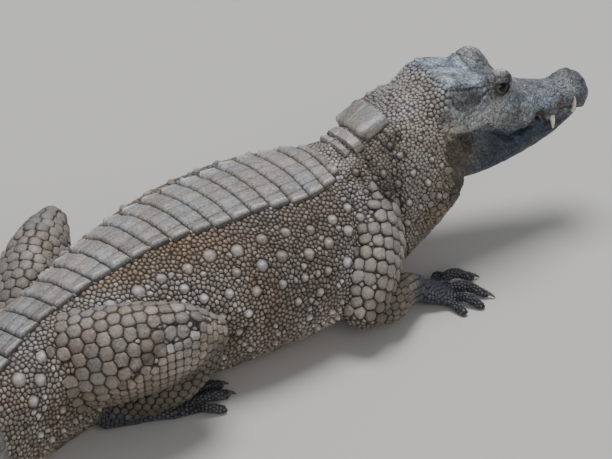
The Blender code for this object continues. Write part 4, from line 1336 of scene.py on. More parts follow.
def fill_gaps(reach, size, height):
    """Granules for bare places: points of the skin farther than 'reach' from every scale, taken in random order
    and each at least a spacing from those already taken, which a coarse grid of buckets finds quickly."""
    points, normals = read_both(skin.data)
    s, a = body_place(points)
    armoured = (np.radians(a) < armour_edge(s, 1)) & (np.radians(a) > armour_edge(s, -1)) & (s < 0.155)
    bare = (head_share(points) < 0.5) & ~armoured & (s >= -0.352) & (points[:, 2] > 0.0015)
    free = np.flatnonzero(bare)
    tree = tree_of(scales["root"])
    taken, buckets = [], {}
    for k in free[rng.permutation(len(free))]:
        point = points[k]
        _, other, far = tree.find(point)
        if far < reach + (0.95 if scales["kind"][other] in ("leaf", "flat") else 0.6) * scales["size"][other]:
            continue
        cell = tuple((point // size).astype(int))
        around = [c for dx in (-1, 0, 1) for dy in (-1, 0, 1) for dz in (-1, 0, 1)
                  for c in buckets.get((cell[0] + dx, cell[1] + dy, cell[2] + dz), ())]
        if around and min(((points[around] - point) ** 2).sum(axis=1)) < (0.92 * size) ** 2:
            continue
        buckets.setdefault(cell, []).append(k)
        taken.append(k)
    many = len(taken)
    points, s, a = points[taken], s[taken], a[taken]
    spot = np.where(s > 0.16, "neck_", "flank_")
    word = np.where(points[:, 1] < 0, "right", "left")
    return dict(root=points, normal=normals[taken], group=np.char.add(spot, word),
                kind=np.where(spot == "neck_", "fine", "granule"), ahead=SKULL_AXES[0] + 0 * points,
                flat=unwrapped(s, np.radians(a)), size=np.full(many, size / 2), height=np.full(many, height),
                keel=np.zeros(many))


extra = fill_gaps(0.0019, 0.0046, 0.0012)
scales = {key: np.concatenate([scales[key], value]) for key, value in extra.items()}
print(len(extra["root"]), "granules fill the gaps")

# %% Borders
NEAR = 16  # so many neighbours can bound a scale
root, normal, sizes, groups, kinds = (scales[key] for key in ("root", "normal", "size", "group", "kind"))
tree = tree_of(root)
near = np.array([[hit[1] for hit in tree.find_n(place, NEAR)] for place in root])
u_axis = unit(scales["ahead"] - (scales["ahead"] * normal).sum(axis=1, keepdims=True) * normal)
v_axis = np.cross(normal, u_axis)
print("neighbours found for", len(near), "scales")

# %% Kinds of scales
# For every kind: its sides; the gap to its neighbours in metres; how much greyer than the skin it is, as keratin
# is; its tone, and how much that varies; how much paler its top is; and for each ring how far out it lies and
# how high, both as shares.
KINDS = {
    "granule": (8, 0.00014, 0.28, 1.08, 0.22, 0.55, ((1.0, -0.4), (0.9, 0.36), (0.56, 0.84))),
    "fine": (8, 0.00006, 0.25, 1.0, 0.12, 0.25, ((1.0, -0.4), (0.88, 0.5), (0.5, 0.88))),
    "bump": (12, 0.0003, 0.72, 1.25, 0.12, 0.75, ((1.0, -0.3), (0.93, 0.16), (0.64, 0.46), (0.28, 0.84))),
    "flat": (12, 0.00045, 0.3, 1.05, 0.12, 0.1, ((1.0, -0.7), (0.96, 0.5), (0.84, 0.92), (0.45, 1.0))),
    "leaf": (12, 0.0003, 0.15, 1.0, 0.12, 0.4, ((1.0, -0.5), (0.96, 0.4), (0.78, 0.78), (0.42, 0.96))),
}
FLANK_BUMP_TONE = 2.2  # the bumps of the flanks stand out pale


def reach_of(index, sides):
    """How far each scale reaches in every direction round it, before it meets a neighbour."""
    phi = np.arange(sides) * 2 * pi / sides
    others = near[index]
    d = root[others] - root[index][:, None]
    du, dv = (d * u_axis[index][:, None]).sum(axis=2), (d * v_axis[index][:, None]).sum(axis=2)
    flat2 = du ** 2 + dv ** 2
    square = (d ** 2).sum(axis=2)
    pull = square + (sizes[index] ** 2)[:, None] - sizes[others] ** 2
    grow = np.sqrt(square / np.maximum(flat2, 1e-12))
    ahead = (du[..., None] * np.cos(phi) + dv[..., None] * np.sin(phi)) * grow[..., None]
    own = (others == index[:, None])[..., None] | (ahead <= 1e-7)
    limit = np.where(own, 1.0, pull[..., None] / (2 * np.maximum(ahead, 1e-7)))
    return phi, np.clip(limit.min(axis=1), 0.25 * sizes[index][:, None], 1.45 * sizes[index][:, None])


def scale_mesh(index, kind):
    """Points, faces and attributes of all the scales of one kind: rings shrinking towards a raised centre."""
    sides, gap, greyer, tone, vary, pale, rings = KINDS[kind]
    phi, reach = reach_of(index, sides)
    reach = reach - gap * (0.25 + 0.95 * np.cos(phi) ** 2 if kind == "leaf" else 1.0)
    many, per = len(index), sides * len(rings) + 1
    share = np.concatenate([np.repeat([r[0] for r in rings], sides), [0.0]])
    rise = np.concatenate([np.repeat([r[1] for r in rings], sides), [1.0]])
    turn = np.concatenate([np.tile(phi, len(rings)), [0.0]])
    out = np.column_stack([np.tile(reach, (1, len(rings))), reach[:, :1] * 0])
    along_u, along_v = out * share * np.cos(turn), out * share * np.sin(turn)
    flat = (root[index][:, None] + u_axis[index][:, None] * along_u[..., None]
            + v_axis[index][:, None] * along_v[..., None])
    base, up = onto_skin(flat.reshape(-1, 3))
    size = sizes[index][:, None]
    high = scales["height"][index][:, None] * rise * rng.uniform(0.7, 1.22, (many, 1))
    ridge = np.exp(-(along_v / (0.24 * size)) ** 2) * (1 - np.clip(np.abs(along_u) / size, 0, 1) ** 2)
    high = high + scales["keel"][index][:, None] * ridge * (rise > 0)
    if kind == "leaf":  # flat and tucked in behind, raised at the free edge
        free = np.clip(0.5 + 0.65 * along_u / size, 0, 1)
        high = high * np.abs(rise) ** (0.1 - 0.45 * free) * (0.55 + 0.5 * free)
    points = above_floor(base + up * high.reshape(-1, 1))
    index_of = np.arange(many)[:, None] * per
    quads = grid_faces(len(rings), sides)
    a = np.arange(sides)
    last = per - 1 - sides
    fan = np.stack([a + last, (a + 1) % sides + last, np.full(sides, per - 1)], 1)
    faces = [(index_of[:, None] + quads[None]).reshape(-1, 4), (index_of[:, None] + fan[None]).reshape(-1, 3),
             (index_of + a[::-1][None]).reshape(-1, sides)]
    patch = np.stack([along_u, along_v], axis=-1)
    bake = (scales["flat"][index][:, None] + patch / size[..., None] * 0.0015).reshape(-1, 2)
    grain = (patch * 50 + rng.uniform(0, 20, (many, 1, 2))).reshape(-1, 2)
    colour = paint(root[index])
    grey = (colour @ np.array([0.3, 0.55, 0.15]))[:, None] * np.array([1.02, 1.0, 0.98])
    colour = colour + (grey - colour) * greyer
    if kind == "bump" and "flank" in groups[index[0]]:
        tone = FLANK_BUMP_TONE
    gain = tone * np.exp(rng.normal(0, vary, many))
    colour = np.repeat(np.clip(colour * gain[:, None], 0, 1), per, axis=0)
    # the deeper folds get painted shade and dirt on the scales too
    light = (1 - 0.45 * pale + pale * np.tile(np.clip(rise, 0, 1), many) ** 2) * (1 - 0.7 * crease_shade_and_dirt(points))
    colour = np.clip(colour * light[:, None], 0, 1)
    shown = np.tile(np.clip(0.62 + 0.38 * rise if kind == "fine" else 0.1 + rise, 0, 1), many)
    if kind == "leaf":  # hardly any dark between neighbours of a row
        shown = np.clip(shown + 0.45 * (np.tile(rise, many) > 0) * np.tile(np.sin(turn) ** 2, many), 0, 1)
    return dict(points=points, faces=faces, bake=bake, grain=grain, colour=colour, rise=shown,
                tone=np.repeat(rng.uniform(-1, 1, many), per))


print(", ".join(f"{kind}: {int((kinds == kind).sum())}" for kind in KINDS))

# %% One piece for each region


def piece_of(name, parts):
    """One joined mesh from several kinds of scales, with all their attributes."""
    offset, polygons = 0, []
    for part in parts:
        polygons += [face + offset for face in part["faces"]]
        offset += len(part["points"])
    mesh = bpy.data.meshes.new(name)
    mesh.vertices.add(offset)
    whole = {key: np.concatenate([p[key] for p in parts]) for key in parts[0] if key != "faces"}
    mesh.vertices.foreach_set("co", whole["points"].astype(np.float32).ravel())
    sides = np.concatenate([np.full(len(f), f.shape[1]) for f in polygons])
    corners = np.concatenate([f.ravel() for f in polygons])
    mesh.loops.add(len(corners))
    mesh.loops.foreach_set("vertex_index", corners.astype(np.int32))
    mesh.polygons.add(len(sides))
    mesh.polygons.foreach_set("loop_start", (np.cumsum(sides) - sides).astype(np.int32))
    mesh.update(calc_edges=True)
    mesh.validate()
    mesh.shade_smooth()
    set_paint(mesh, whole["colour"], whole["rise"], whole["tone"])
    corner_uv(mesh, "OFBake", whole["bake"])
    corner_uv(mesh, "grain", whole["grain"])
    done = add_object(name, mesh)
    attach(done, "root")
    print(name, len(sides), "faces,", int((sides - 2).sum()), "triangles")
    return done


coat = []
for group in dict.fromkeys(groups.tolist()):
    found = [(np.flatnonzero((groups == group) & (kinds == kind)), kind) for kind in KINDS]
    coat.append(piece_of("scales_" + group, [scale_mesh(index, kind) for index, kind in found if len(index)]))

# %% [markdown]
# ## Armour plates
#
# Along the back the scales are bony plates in straight belts, one belt for each vertebra, with a fine groove
# between belts. A plate is a small grid laid over the body between two distances and two angles. Its height is
# a slab with rounded borders, plus a keel: a ridge along the plate that is low in the middle of the back and tall
# in the outer row, where it makes the edge of the armour stand out like a roof. Tail whorls are made the same
# way, and their outer rows grow into the crest.

# %% Plates


def plates(table, nu, nv):
    """Closed grid plates. Each row of the table: first and last distance, first and last angle (radians), slab
    height, keel height, keel's place across (0 to 1), keel's width, rear lift, tone gain."""
    t = np.asarray(table, float)
    many = len(t)
    # u and v run over the grid from a corner, p and q from its middle; a skirt round it reaches into the skin
    s0, s1, a0, a1, slab, keel, at, wide, lift, gain = (t[:, k, None, None] for k in range(10))
    u = np.concatenate([[0], np.linspace(0, 1, nu), [1]])[None, :, None]
    v = np.concatenate([[0], np.linspace(0, 1, nv), [1]])[None, None, :]
    skirt = np.zeros((nu + 2, nv + 2))
    skirt[[0, -1]], skirt[:, [0, -1]] = 1, 1
    p, q = 2 * u - 1, 2 * v - 1
    p, q = p * (1 - 0.05 * q ** 6), q * (1 - 0.07 * p ** 6)
    s = (s0 + s1) / 2 + (s1 - s0) / 2 * p
    a = (a0 + a1) / 2 + (a1 - a0) / 2 * q
    s, a = np.broadcast_arrays(s, a)
    base, up = onto_skin(on_body(s, a).reshape(-1, 3))
    edge = np.maximum(np.abs(p), np.abs(q))
    high = slab * (1 - 0.5 * np.abs(p) ** 9 - 0.22 * np.abs(q) ** 14)
    ridge = np.exp(-((v - at) / wide) ** 2)
    inner_side = np.where(at > 0.5, v / at, (1 - v) / (1 - at))  # a keel off the middle slopes like a roof
    ridge = np.where((at != 0.5) & (inner_side < 1), np.clip(inner_side, 0, 1) ** 1.5, ridge)
    # the keel climbs towards the rear end of the plate (low distance), and drops at the very end
    climb = (0.35 + 0.65 * (1 - u)) * np.clip(u * 7, 0, 1) ** 0.5 * np.clip((1 - u) * 8 + 0.2, 0, 1)
    high = high + keel * ridge * climb + lift * (1 - u) ** 2 * np.clip(u * 10, 0, 1)
    wear = 0.00022 * noise(base, 0.0045, 41).reshape(high.shape)
    high = np.where(skirt > 0, -0.0022, high + wear)
    points = above_floor(base + up * high.reshape(-1, 1))
    # faces: quads on top and one face below, all turned so that they look outward
    index = np.arange((nu + 2) * (nv + 2)).reshape(nu + 2, nv + 2)
    quads = np.stack([index[:-1, :-1], index[1:, :-1], index[1:, 1:], index[:-1, 1:]], -1).reshape(-1, 4)
    border = np.concatenate([index[0], index[1:, -1], index[-1, -2::-1], index[-2:0:-1, 0]])
    first = points.reshape(many, -1, 3)
    corner = first[:, index[1, 1]]
    towards = np.cross(first[:, index[2, 1]] - corner, first[:, index[1, 2]] - corner)
    outward = (towards * up.reshape(many, -1, 3)[:, index[1, 1]]).sum(axis=1) > 0
    quads_each = np.where(outward[:, None, None], quads[None], quads[None, :, ::-1])
    border_each = np.where(outward[:, None], border[None], border[None, ::-1])
    start = np.arange(many)[:, None] * index.size
    faces = [(quads_each + start[..., None]).reshape(-1, 4), border_each + start]
    centre = np.stack([(t[:, 0] + t[:, 1]) / 2, (t[:, 2] + t[:, 3]) / 2], axis=1)
    patch = np.stack(np.broadcast_arrays(p * 0.0014, q * 0.0014), axis=-1)[0]
    bake = (unwrapped(*centre.T)[:, None, None] + patch[None]).reshape(-1, 2)
    arc = np.linalg.norm(first[:, index[1, -2]] - corner, axis=1)[:, None, None]
    grain = np.stack(np.broadcast_arrays((s1 - s0) * u * 50, arc * v * 50), axis=-1)
    grain = grain + rng.uniform(0, 20, (many, 1, 1, 2))
    colour = paint(on_body(centre[:, 0], centre[:, 1])) * (gain[:, 0] * np.exp(rng.normal(0, 0.06, (many, 1))))
    colour = colour + (colour.mean(axis=1, keepdims=True) * np.array([1.02, 1.0, 0.975]) - colour) * 0.7
    colour = np.repeat(np.clip(colour, 0, 1), index.size, axis=0)
    rise = np.where(skirt > 0, 0.0, 0.7 + 0.3 * np.clip(1 - edge ** 12, 0, 1))
    # a painted highlight along the keel's ridge
    ridge_highlight = np.exp(-((v - at + 0.05 * np.sign(at - 0.5)) / 0.12) ** 2)
    tall = np.clip(keel / 0.004 - 0.4, 0, 1)
    light_and_shade = 0.96 + np.where(skirt > 0, 0, 1) * ((0.12 + 1.15 * tall) * ridge_highlight * climb + 0.14 * (1 - u))
    # outside a tall keel the plate falls away, in painted shade; the rear and inner rims are paler
    beyond = np.where(at > 0.5, v - at, at - v)
    light_and_shade = light_and_shade * (1 - 0.72 * tall * np.clip((beyond - 0.02) / 0.08, 0, 1))
    light_and_shade = light_and_shade * (1 + 0.35 * np.clip(slab / 0.004 - 0.8, 0, 0.25) * 4 * np.clip((edge - 0.72) / 0.16, 0, 1))
    colour = np.clip(colour * np.broadcast_to(light_and_shade, high.shape).reshape(-1, 1), 0, 1)
    return dict(points=points, faces=faces, bake=bake, grain=grain.reshape(-1, 2), colour=colour,
                rise=np.broadcast_to(rise, high.shape).ravel(),
                tone=np.repeat(rng.uniform(-1, 1, many), index.size))


# %% Even steps round the body


def ring_arc(s, low, high, count):
    """Angles at even steps round the body at distance s, and the length of the ring up to each."""
    angles = np.linspace(low, high, count)
    steps = np.linalg.norm(np.diff(on_body(np.full(count, s), angles), axis=0), axis=1)
    return angles, np.concatenate([[0], steps.cumsum()])


def ring_cuts(s, low, high, many):
    """Angles that divide a stretch of the body's ring, at distance s, into even arcs."""
    angles, arc = ring_arc(s, low, high, 97)
    return np.interp(np.linspace(0, arc[-1], many + 1), arc, angles)


# %% The belts of the back
BELT, FIRST_BELT, BELT_GAP = 0.0242, -0.272, 0.0007
PLATE_WIDTH, PLATE_GAP = 0.015, 1 / 6000  # metres, radians
belts = []
for k in range(-3, 18):
    mid = FIRST_BELT + BELT * k
    s0, s1 = mid - BELT / 2 + BELT_GAP, mid + BELT / 2 - BELT_GAP
    low, high = (armour_edge(np.array([mid]), side)[0] for side in (-1, 1))
    many = 2 * max(2, int(round(ring_arc(mid, low, high, 30)[1][-1] / 2 / PLATE_WIDTH)))
    cuts = ring_cuts(mid, low, high, many)
    for j in range(many):
        a0, a1 = cuts[j] + PLATE_GAP, cuts[j + 1] - PLATE_GAP
        if j in (0, many - 1):  # the outer rows, which carry the tall keels
            keel = rng.uniform(0.0048, 0.0062)
            belts.append((s0, s1, a0, a1, 0.0023, keel, 0.72 if j else 0.28, 0.1, 0.0008, 1.0))
        else:
            belts.append((s0, s1, a0, a1, 0.0026, rng.uniform(0.0008, 0.0016), 0.5, 0.24, 0.0008, 1.0))

# %% The shields of the nape
shields = []
for s0, s1, inner, outer, keel in ((0.2185, 0.244, 0.8, 28.0, 0.0044), (0.1945, 0.216, 0.8, 30.0, 0.005),
                                   (0.1745, 0.188, 2.0, 20.0, 0.003)):
    for side in (1, -1):
        middle = along(ARMOUR, [(s0 + s1) / 2])[0, 0]
        a0, a1 = sorted((radians(middle + side * inner), radians(middle + side * outer)))
        shields.append((s0, s1, a0, a1, 0.004, keel, 0.74 if side > 0 else 0.26, 0.13, 0.0014, 1.12))

# %% The whorls of the tail
TAIL_RANGE = (-0.95, -0.4)  # where plates shrink towards the tip
whorls = []
edges_at = [-0.3575]
while edges_at[-1] > TAIL_TIP + 0.012:
    edges_at.append(edges_at[-1] - np.interp(edges_at[-1], [-0.95, -0.36], [0.0115, 0.0238]))
for s1, s0 in zip(edges_at[:-1], edges_at[1:]):
    mid, gap = (s0 + s1) / 2, 0.0006
    s0 = max(s0, TAIL_TIP + 0.003)
    crest_high = along(CREST, [mid])[0, 0]
    middle = along(ARMOUR, [mid])[0, 0]
    single = mid < sum(CRESTS_MEET) / 2
    ridge_at = [90.0] if single else [middle - 29.0, middle + 29.0]
    thin = np.interp(mid, TAIL_RANGE, [10.0, 6.0])
    for at in ridge_at:
        whorls.append((s0 + gap * 0.3, s1 - gap * 0.3, radians(at - thin), radians(at + thin), 0.002,
                       max(0.55 * crest_high, 0.002) + 0.003, 0.5, 0.3, 0.0, 1.12))
    left, right = radians(ridge_at[0] - thin), radians(ridge_at[-1] + thin)
    around = ring_arc(mid, right, left + 2 * pi, 60)[1][-1]
    many = max(5, int(round(around / np.interp(mid, TAIL_RANGE, [0.011, 0.02]))))
    stretches = [(right, left + 2 * pi, many)]
    if not single:  # two plates between the crests
        stretches.insert(0, (radians(ridge_at[0] + thin), radians(ridge_at[1] - thin), 2))
    for low, high, many in stretches:
        cuts = ring_cuts(mid, low, high, many)
        for j in range(many):
            shift = rng.uniform(-0.0005, 0.0005)
            whorls.append((s0 + gap + shift, s1 - gap + shift, cuts[j] + 0.0006, cuts[j + 1] - 0.0006,
                           min(0.002, 0.3 * (mid - TAIL_TIP) * 0.1 + 0.0008), 0.0006, 0.5, 0.35, 0.0004, 1.0))
print(len(belts), "belt plates,", len(shields), "shields,", len(whorls), "tail plates")

coat.append(piece_of("plates_back", [plates(belts, 10, 9), plates(shields, 16, 16)]))
coat.append(piece_of("plates_tail", [plates(whorls, 7, 7)]))

# %% [markdown]
# ## Finishes
#
# Hide is keratin over bone: dull and dusty on the back, a little shiny where it is smooth or damp. The colour
# comes from the painted attribute. Two shared effects give it life close up. Mottling adds soft blotches and fine
# specks to a colour, and grain gives a height for bumps: long streaks that follow each scale's own map, fine
# pits, and a net of cracks on bare skin. Both only hand on colours and heights, so they work in every material.

# %% Shared effects


def group(name, inputs, outputs):
    """A shader node group: its inputs by label, kind and value, its outputs by label and kind."""
    made = bpy.data.node_groups.new(name, "ShaderNodeTree")
    for label, kind, value in inputs:
        socket = made.interface.new_socket(name=label, in_out="INPUT", socket_type="NodeSocket" + kind)
        if value is not None:
            socket.default_value = value
    for label, kind in outputs:
        made.interface.new_socket(name=label, in_out="OUTPUT", socket_type="NodeSocket" + kind)
    return made, made.nodes.new("NodeGroupInput"), made.nodes.new("NodeGroupOutput")


def feed(tree, socket, value):
    """Link another node's output to a socket, or set the socket to a number or colour."""
    if isinstance(value, bpy.types.NodeSocket):
        tree.links.new(value, socket)
    else:
        socket.default_value = value


def node(tree, kind, links=None, **settings):
    """Add a node, set its properties, and feed its inputs."""
    made = tree.nodes.new("ShaderNode" + kind)
    for key, value in settings.items():
        setattr(made, key, value)
    for key, value in (links or {}).items():
        feed(tree, made.inputs[key], value)
    return made


def blend_of(tree, share, first, second, mode="MIX"):
    """Mix two colours by a share; each may be a socket or a value."""
    made = node(tree, "Mix", data_type="RGBA", blend_type=mode, clamp_factor=True)
    for key, value in ((0, share), (6, first), (7, second)):
        feed(tree, made.inputs[key], value)
    return made.outputs[2]


def maths(tree, operation, *values):
    """One calculation on up to three values, each a socket or a number."""
    return node(tree, "Math", dict(enumerate(values)), operation=operation).outputs[0]


def grey_of(tree, value):
    """A grey as light as the value."""
    return node(tree, "CombineColor", {"Red": value, "Green": value, "Blue": value}).outputs[0]


def lumps(tree, place, scale, detail, rough=0.5, bent=0.0):
    """A soft noise from 0 to 1, with finer and finer ones laid over it."""
    return node(tree, "TexNoise", {"Vector": place, "Scale": scale, "Detail": detail, "Roughness": rough,
                                   "Distortion": bent}).outputs[0]


def ramp(tree, value, low, high, out_low=0.0, out_high=1.0):
    """The value's way from low to high as a smooth way from one output to the other."""
    links = {"Value": value, "From Min": low, "From Max": high, "To Min": out_low, "To Max": out_high}
    return node(tree, "MapRange", links, interpolation_type="SMOOTHSTEP").outputs[0]


# %% Mottling
mottle, m_in, m_out = group(
    "mottling",
    (("Colour", "Color", (0.2, 0.2, 0.2, 1)), ("Amount", "Float", 1.0), ("Specks", "Float", 0.5),
     ("Tone", "Float", 0.0)),
    (("Colour", "Color"), ("Mask", "Float")))
place = node(mottle, "TexCoord").outputs["Object"]
broad, fine = lumps(mottle, place, 26.0, 4.0, 0.6), lumps(mottle, place, 240.0, 4.0, 0.7)
specks = lumps(mottle, place, 400.0, 3.0, 0.7)
speckle = maths(mottle, "SUBTRACT", ramp(mottle, specks, 0.53, 0.68, 0.0, 1.0),
                ramp(mottle, specks, 0.47, 0.34, 0.0, 0.65))
light = maths(mottle, "MULTIPLY_ADD", broad, 0.55, 0.72)
for value, share, more in ((fine, 0.7, -0.35), (m_in.outputs["Tone"], 0.07, 0.0),
                           (speckle, m_in.outputs["Specks"], 0.0)):
    light = maths(mottle, "ADD", light, maths(mottle, "MULTIPLY_ADD", value, share, more))
warm = blend_of(mottle, ramp(mottle, broad, 0.42, 0.62), (1.04, 0.99, 0.93, 1), (0.97, 1.0, 1.05, 1))
tinted = blend_of(mottle, 1.0, grey_of(mottle, light), warm, "MULTIPLY")
lively = blend_of(mottle, 1.0, m_in.outputs["Colour"], tinted, "MULTIPLY")
feed(mottle, m_out.inputs["Colour"], blend_of(mottle, m_in.outputs["Amount"], m_in.outputs["Colour"], lively))
feed(mottle, m_out.inputs["Mask"], fine)
print("mottling:", len(mottle.nodes), "nodes")

# %% Grain
grain, g_in, g_out = group(
    "hide grain",
    (("Streaks", "Float", 0.5), ("Pits", "Float", 0.5), ("Cracks", "Float", 0.0), ("Map", "Vector", None)),
    (("Height", "Float"), ("Cracks", "Float"), ("Streaks", "Float")))
place = node(grain, "TexCoord").outputs["Object"]
stretched = node(grain, "Mapping", {"Vector": g_in.outputs["Map"], "Scale": (0.9, 6.0, 1.0)}).outputs[0]
streaks = lumps(grain, stretched, 1.6, 3.0, 0.55, 0.25)
pits = lumps(grain, place, 620.0, 4.0, 0.65)
cracks = None
# wrinkles: the lines where a noise crosses its middle value
for size, deep in ((70.0, 0.0), (150.0, 0.35), (330.0, 0.6)):
    wave = lumps(grain, place, size, 2.0, bent=0.6)
    line = ramp(grain, maths(grain, "ABSOLUTE", maths(grain, "SUBTRACT", wave, 0.5)), 0.0, 0.04, deep, 1.0)
    cracks = line if cracks is None else maths(grain, "MULTIPLY", cracks, line)
height = maths(grain, "MULTIPLY", streaks, g_in.outputs["Streaks"])
for value, label in ((pits, "Pits"), (cracks, "Cracks")):
    height = maths(grain, "ADD", height, maths(grain, "MULTIPLY", value, g_in.outputs[label]))
for label, value in (("Height", height), ("Cracks", cracks), ("Streaks", streaks)):
    feed(grain, g_out.inputs[label], value)
print("grain:", len(grain.nodes), "nodes")

# %% Hide


def new_material(name):
    """A material with its node tree and its shader."""
    mat = bpy.data.materials.new(name)
    mat.use_nodes = True
    return mat, mat.node_tree, mat.node_tree.nodes["Principled BSDF"]


def full(r, g, b):
    """A screen colour as a socket wants it: linear light, with nothing see-through."""
    return (*srgb(r, g, b), 1)


def finish(tree, shader, colour, rough, height=None, strength=0.0, depth=0.0005):
    """Feed the shader its colour, its roughness and, from a height, its bumps."""
    feed(tree, shader.inputs["Base Color"], colour)
    feed(tree, shader.inputs["Roughness"], rough)
    if height is not None:
        relief = node(tree, "Bump", {"Height": height, "Strength": strength, "Distance": depth})
        feed(tree, shader.inputs["Normal"], relief.outputs[0])


def hide_material(name, streaks, pits, cracks, strength, rough, specks=0.5, between=(98, 70, 44), uses_map=True):
    """Painted hide: grooves darken to the colour 'between' where rise is low, mottled, with grain for bumps."""
    mat, tree, shader = new_material(name)
    colour = node(tree, "Attribute", attribute_name="paint").outputs["Color"]
    rise_value = node(tree, "Attribute", attribute_name="rise").outputs["Fac"]
    tone = node(tree, "Attribute", attribute_name="tone").outputs["Fac"]
    links = {"Colour": colour, "Amount": 1.0, "Specks": specks, "Tone": tone}
    speck = node(tree, "Group", links, node_tree=mottle)
    links = {"Streaks": streaks, "Pits": pits, "Cracks": cracks}
    if uses_map:
        links["Map"] = node(tree, "UVMap", uv_map="grain").outputs[0]
    detail = node(tree, "Group", links, node_tree=grain)
    lively = speck.outputs["Colour"]
    if streaks > 1:
        band = ramp(tree, detail.outputs["Streaks"], 0.34, 0.66, 0.84, 1.15)
        lively = blend_of(tree, 1.0, lively, grey_of(tree, band), "MULTIPLY")
    groove = blend_of(tree, 0.6, lively, full(*between))
    groove = blend_of(tree, 1.0, groove, (0.74, 0.7, 0.66, 1), "MULTIPLY")
    body_colour = blend_of(tree, ramp(tree, rise_value, 0.05, 0.62), groove, lively)
    if cracks > 0:
        dark = blend_of(tree, 1.0, body_colour, (0.44, 0.42, 0.41, 1), "MULTIPLY")
        body_colour = blend_of(tree, detail.outputs["Cracks"], dark, body_colour)
    uneven = ramp(tree, speck.outputs["Mask"], 0.3, 0.7, rough - 0.1, rough + 0.12)
    finish(tree, shader, body_colour, uneven, detail.outputs["Height"], strength, 0.001)
    shader.inputs["Specular IOR Level"].default_value = 0.45
    return mat


# %% Hide on the skin and the coat
# on the bare hide the colour 'between' serves the skin between scales and the painted shade along the head's
# creases
bare_hide = hide_material("bare hide", 0.0, 0.9, 1.1, 1.0, 0.44, 0.95, (58, 50, 48), uses_map=False)
scale_hide = hide_material("scaled hide", 0.35, 0.55, 0.0, 0.5, 0.52, between=(92, 68, 46))
plate_hide = hide_material("armour", 1.3, 0.55, 0.0, 0.75, 0.55, 0.6)
skin.data.materials.clear()
skin.data.materials.append(bare_hide)
skin.data.polygons.foreach_set("material_index", np.zeros(len(skin.data.polygons), np.int32))
for piece in coat:
    piece.data.materials.append(plate_hide if piece.name.startswith("plates") else scale_hide)
print(len(coat), "pieces of the coat have their hide")


# %% Eyes, horn and teeth


def plain(name, low, high, scale, rough, bump_strength, coat_weight):
    """A horn-like finish: two shades mixed by a noise, which also makes the bump."""
    mat, tree, shader = new_material(name)
    place = node(tree, "TexCoord").outputs["Object"]
    value = lumps(tree, place, scale, 4.0, 0.6)
    colour = blend_of(tree, ramp(tree, value, 0.38, 0.62), full(*low), full(*high))
    finish(tree, shader, colour, rough, value, bump_strength)
    shader.inputs["Coat Weight"].default_value = coat_weight
    shader.inputs["Coat Roughness"].default_value = 0.05
    return mat


def eye_material(side):
    """A dark brown iris with an upright slit and a pale olive rim, all by distance from the eye's axis."""
    mat, tree, shader = new_material("eye " + side)
    flip = np.array([1, -SIDES[side], 1])
    centre = from_skull(EYE_PLACE * flip)
    axis = unit(np.array((0.28, 0.87, 0.44)) * flip) @ SKULL_AXES
    across = unit(np.cross(SKULL_AXES[2], axis))
    place = node(tree, "TexCoord").outputs["Object"]
    off = node(tree, "VectorMath", {0: place, 1: tuple(-centre)}, operation="ADD").outputs[0]
    along_axis, sideways = (node(tree, "VectorMath", {0: off, 1: tuple(way)}, operation="DOT_PRODUCT"
                                 ).outputs["Value"] for way in (axis, across))
    veins = lumps(tree, place, 700.0, 3.0)
    iris = blend_of(tree, veins, full(14, 10, 7), full(34, 25, 16))
    pupil = ramp(tree, maths(tree, "ABSOLUTE", sideways), 0.0011, 0.0019)
    ball = blend_of(tree, pupil, (0.004, 0.004, 0.005, 1), iris)
    rim = ramp(tree, along_axis, 0.0076, 0.0086)
    finish(tree, shader, blend_of(tree, rim, full(100, 96, 74), ball), 0.16)
    shader.inputs["Specular IOR Level"].default_value = 0.35
    return mat


# %% Eyes, claws and teeth get theirs
for word, ball in eyes.items():
    ball.data.materials.append(eye_material(word))
horn = plain("claw horn", (52, 46, 42), (120, 108, 92), 420.0, 0.35, 0.3, 0.2)
ivory = plain("tooth", (206, 196, 168), (236, 230, 212), 300.0, 0.28, 0.15, 0.4)
tooth_row.data.materials.append(ivory)
for claw in claws:
    claw.data.materials.append(horn)
print(len(bpy.data.materials), "materials")
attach(skin, "root")
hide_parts(*[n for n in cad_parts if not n.startswith(("eye", "claw"))])

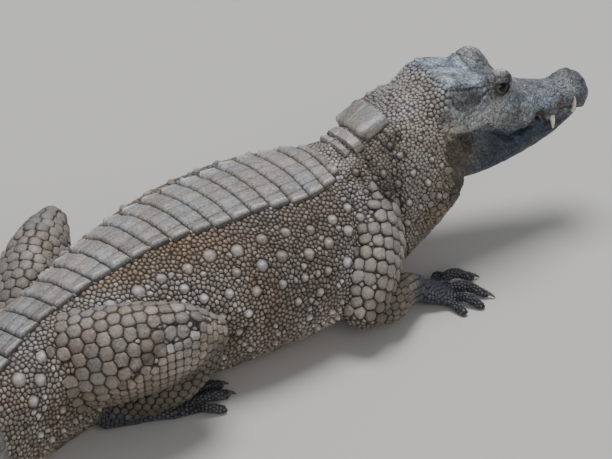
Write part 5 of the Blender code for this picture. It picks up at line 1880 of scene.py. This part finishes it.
# %% [markdown]
# ## Floor, light and camera
#
# The floor is a plain pale sheet that only catches the shadow, so it is declared as stage and isn't part of the
# animal. A large lamp overhead gives soft daylight and a wide one in front lightens the shadows on the face. The
# camera stands high on the animal's right, where the head, the armour and both right feet show.

# %% Stage


def stage_floor():
    """A wide pale floor that isn't part of the animal."""
    mesh = bpy.data.meshes.new("floor")
    mesh.from_pydata([(-6, -6, 0), (6, -6, 0), (6, 6, 0), (-6, 6, 0)], [], [(0, 1, 2, 3)])
    mat, _, shader = new_material("pale floor")
    shader.inputs["Base Color"].default_value = (0.62, 0.6, 0.57, 1)
    shader.inputs["Roughness"].default_value = 0.85
    mesh.materials.append(mat)
    floor = add_object("floor", mesh)
    floor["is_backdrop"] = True


def lamp(name, place, target, size, power, colour):
    """A round area light that faces its target."""
    data = bpy.data.lights.new(name, "AREA")
    data.shape, data.size, data.energy, data.color = "DISK", size, power, colour
    light = add_object(name, data)
    light.location = place
    aim = Vector(target) - Vector(place)
    light.rotation_euler = aim.to_track_quat("-Z", "Y").to_euler()


stage_floor()
lamp("sky", (0.5, 0.5, 3.0), (0.1, 0, 0.1), 1.5, 78, (0.97, 0.98, 1.0))
lamp("front fill", (-0.9, -2.6, 1.7), (0.1, 0, 0.1), 2.4, 26, (1.0, 0.985, 0.96))
world = bpy.data.worlds.new("studio")
bpy.context.scene.world = world
world.use_nodes = True
world.node_tree.nodes["Background"].inputs["Color"].default_value = (0.8, 0.84, 0.9, 1)
world.node_tree.nodes["Background"].inputs["Strength"].default_value = 0.28

VIEW_TARGET, VIEW_TURN, VIEW_RISE, VIEW_DISTANCE = (0.115, 0.0, 0.075), -40, 34, 2.2
camera = add_object("camera", bpy.data.cameras.new("camera"))
camera.data.lens = 117.647
turn, rise = radians(VIEW_TURN), radians(VIEW_RISE)
back = Vector((sin(turn) * cos(rise), -cos(turn) * cos(rise), sin(rise)))
camera.location = Vector(VIEW_TARGET) + back * VIEW_DISTANCE
camera.rotation_euler = back.to_track_quat("Z", "Y").to_euler()
bpy.context.scene.camera = camera

# %% Sizes and the end
low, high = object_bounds()
{"cad": [list(cad_low), list(cad_high)], "visual": [list(low), list(high)]}
print("visual box", [round(v, 4) for v in (*low, *high)])
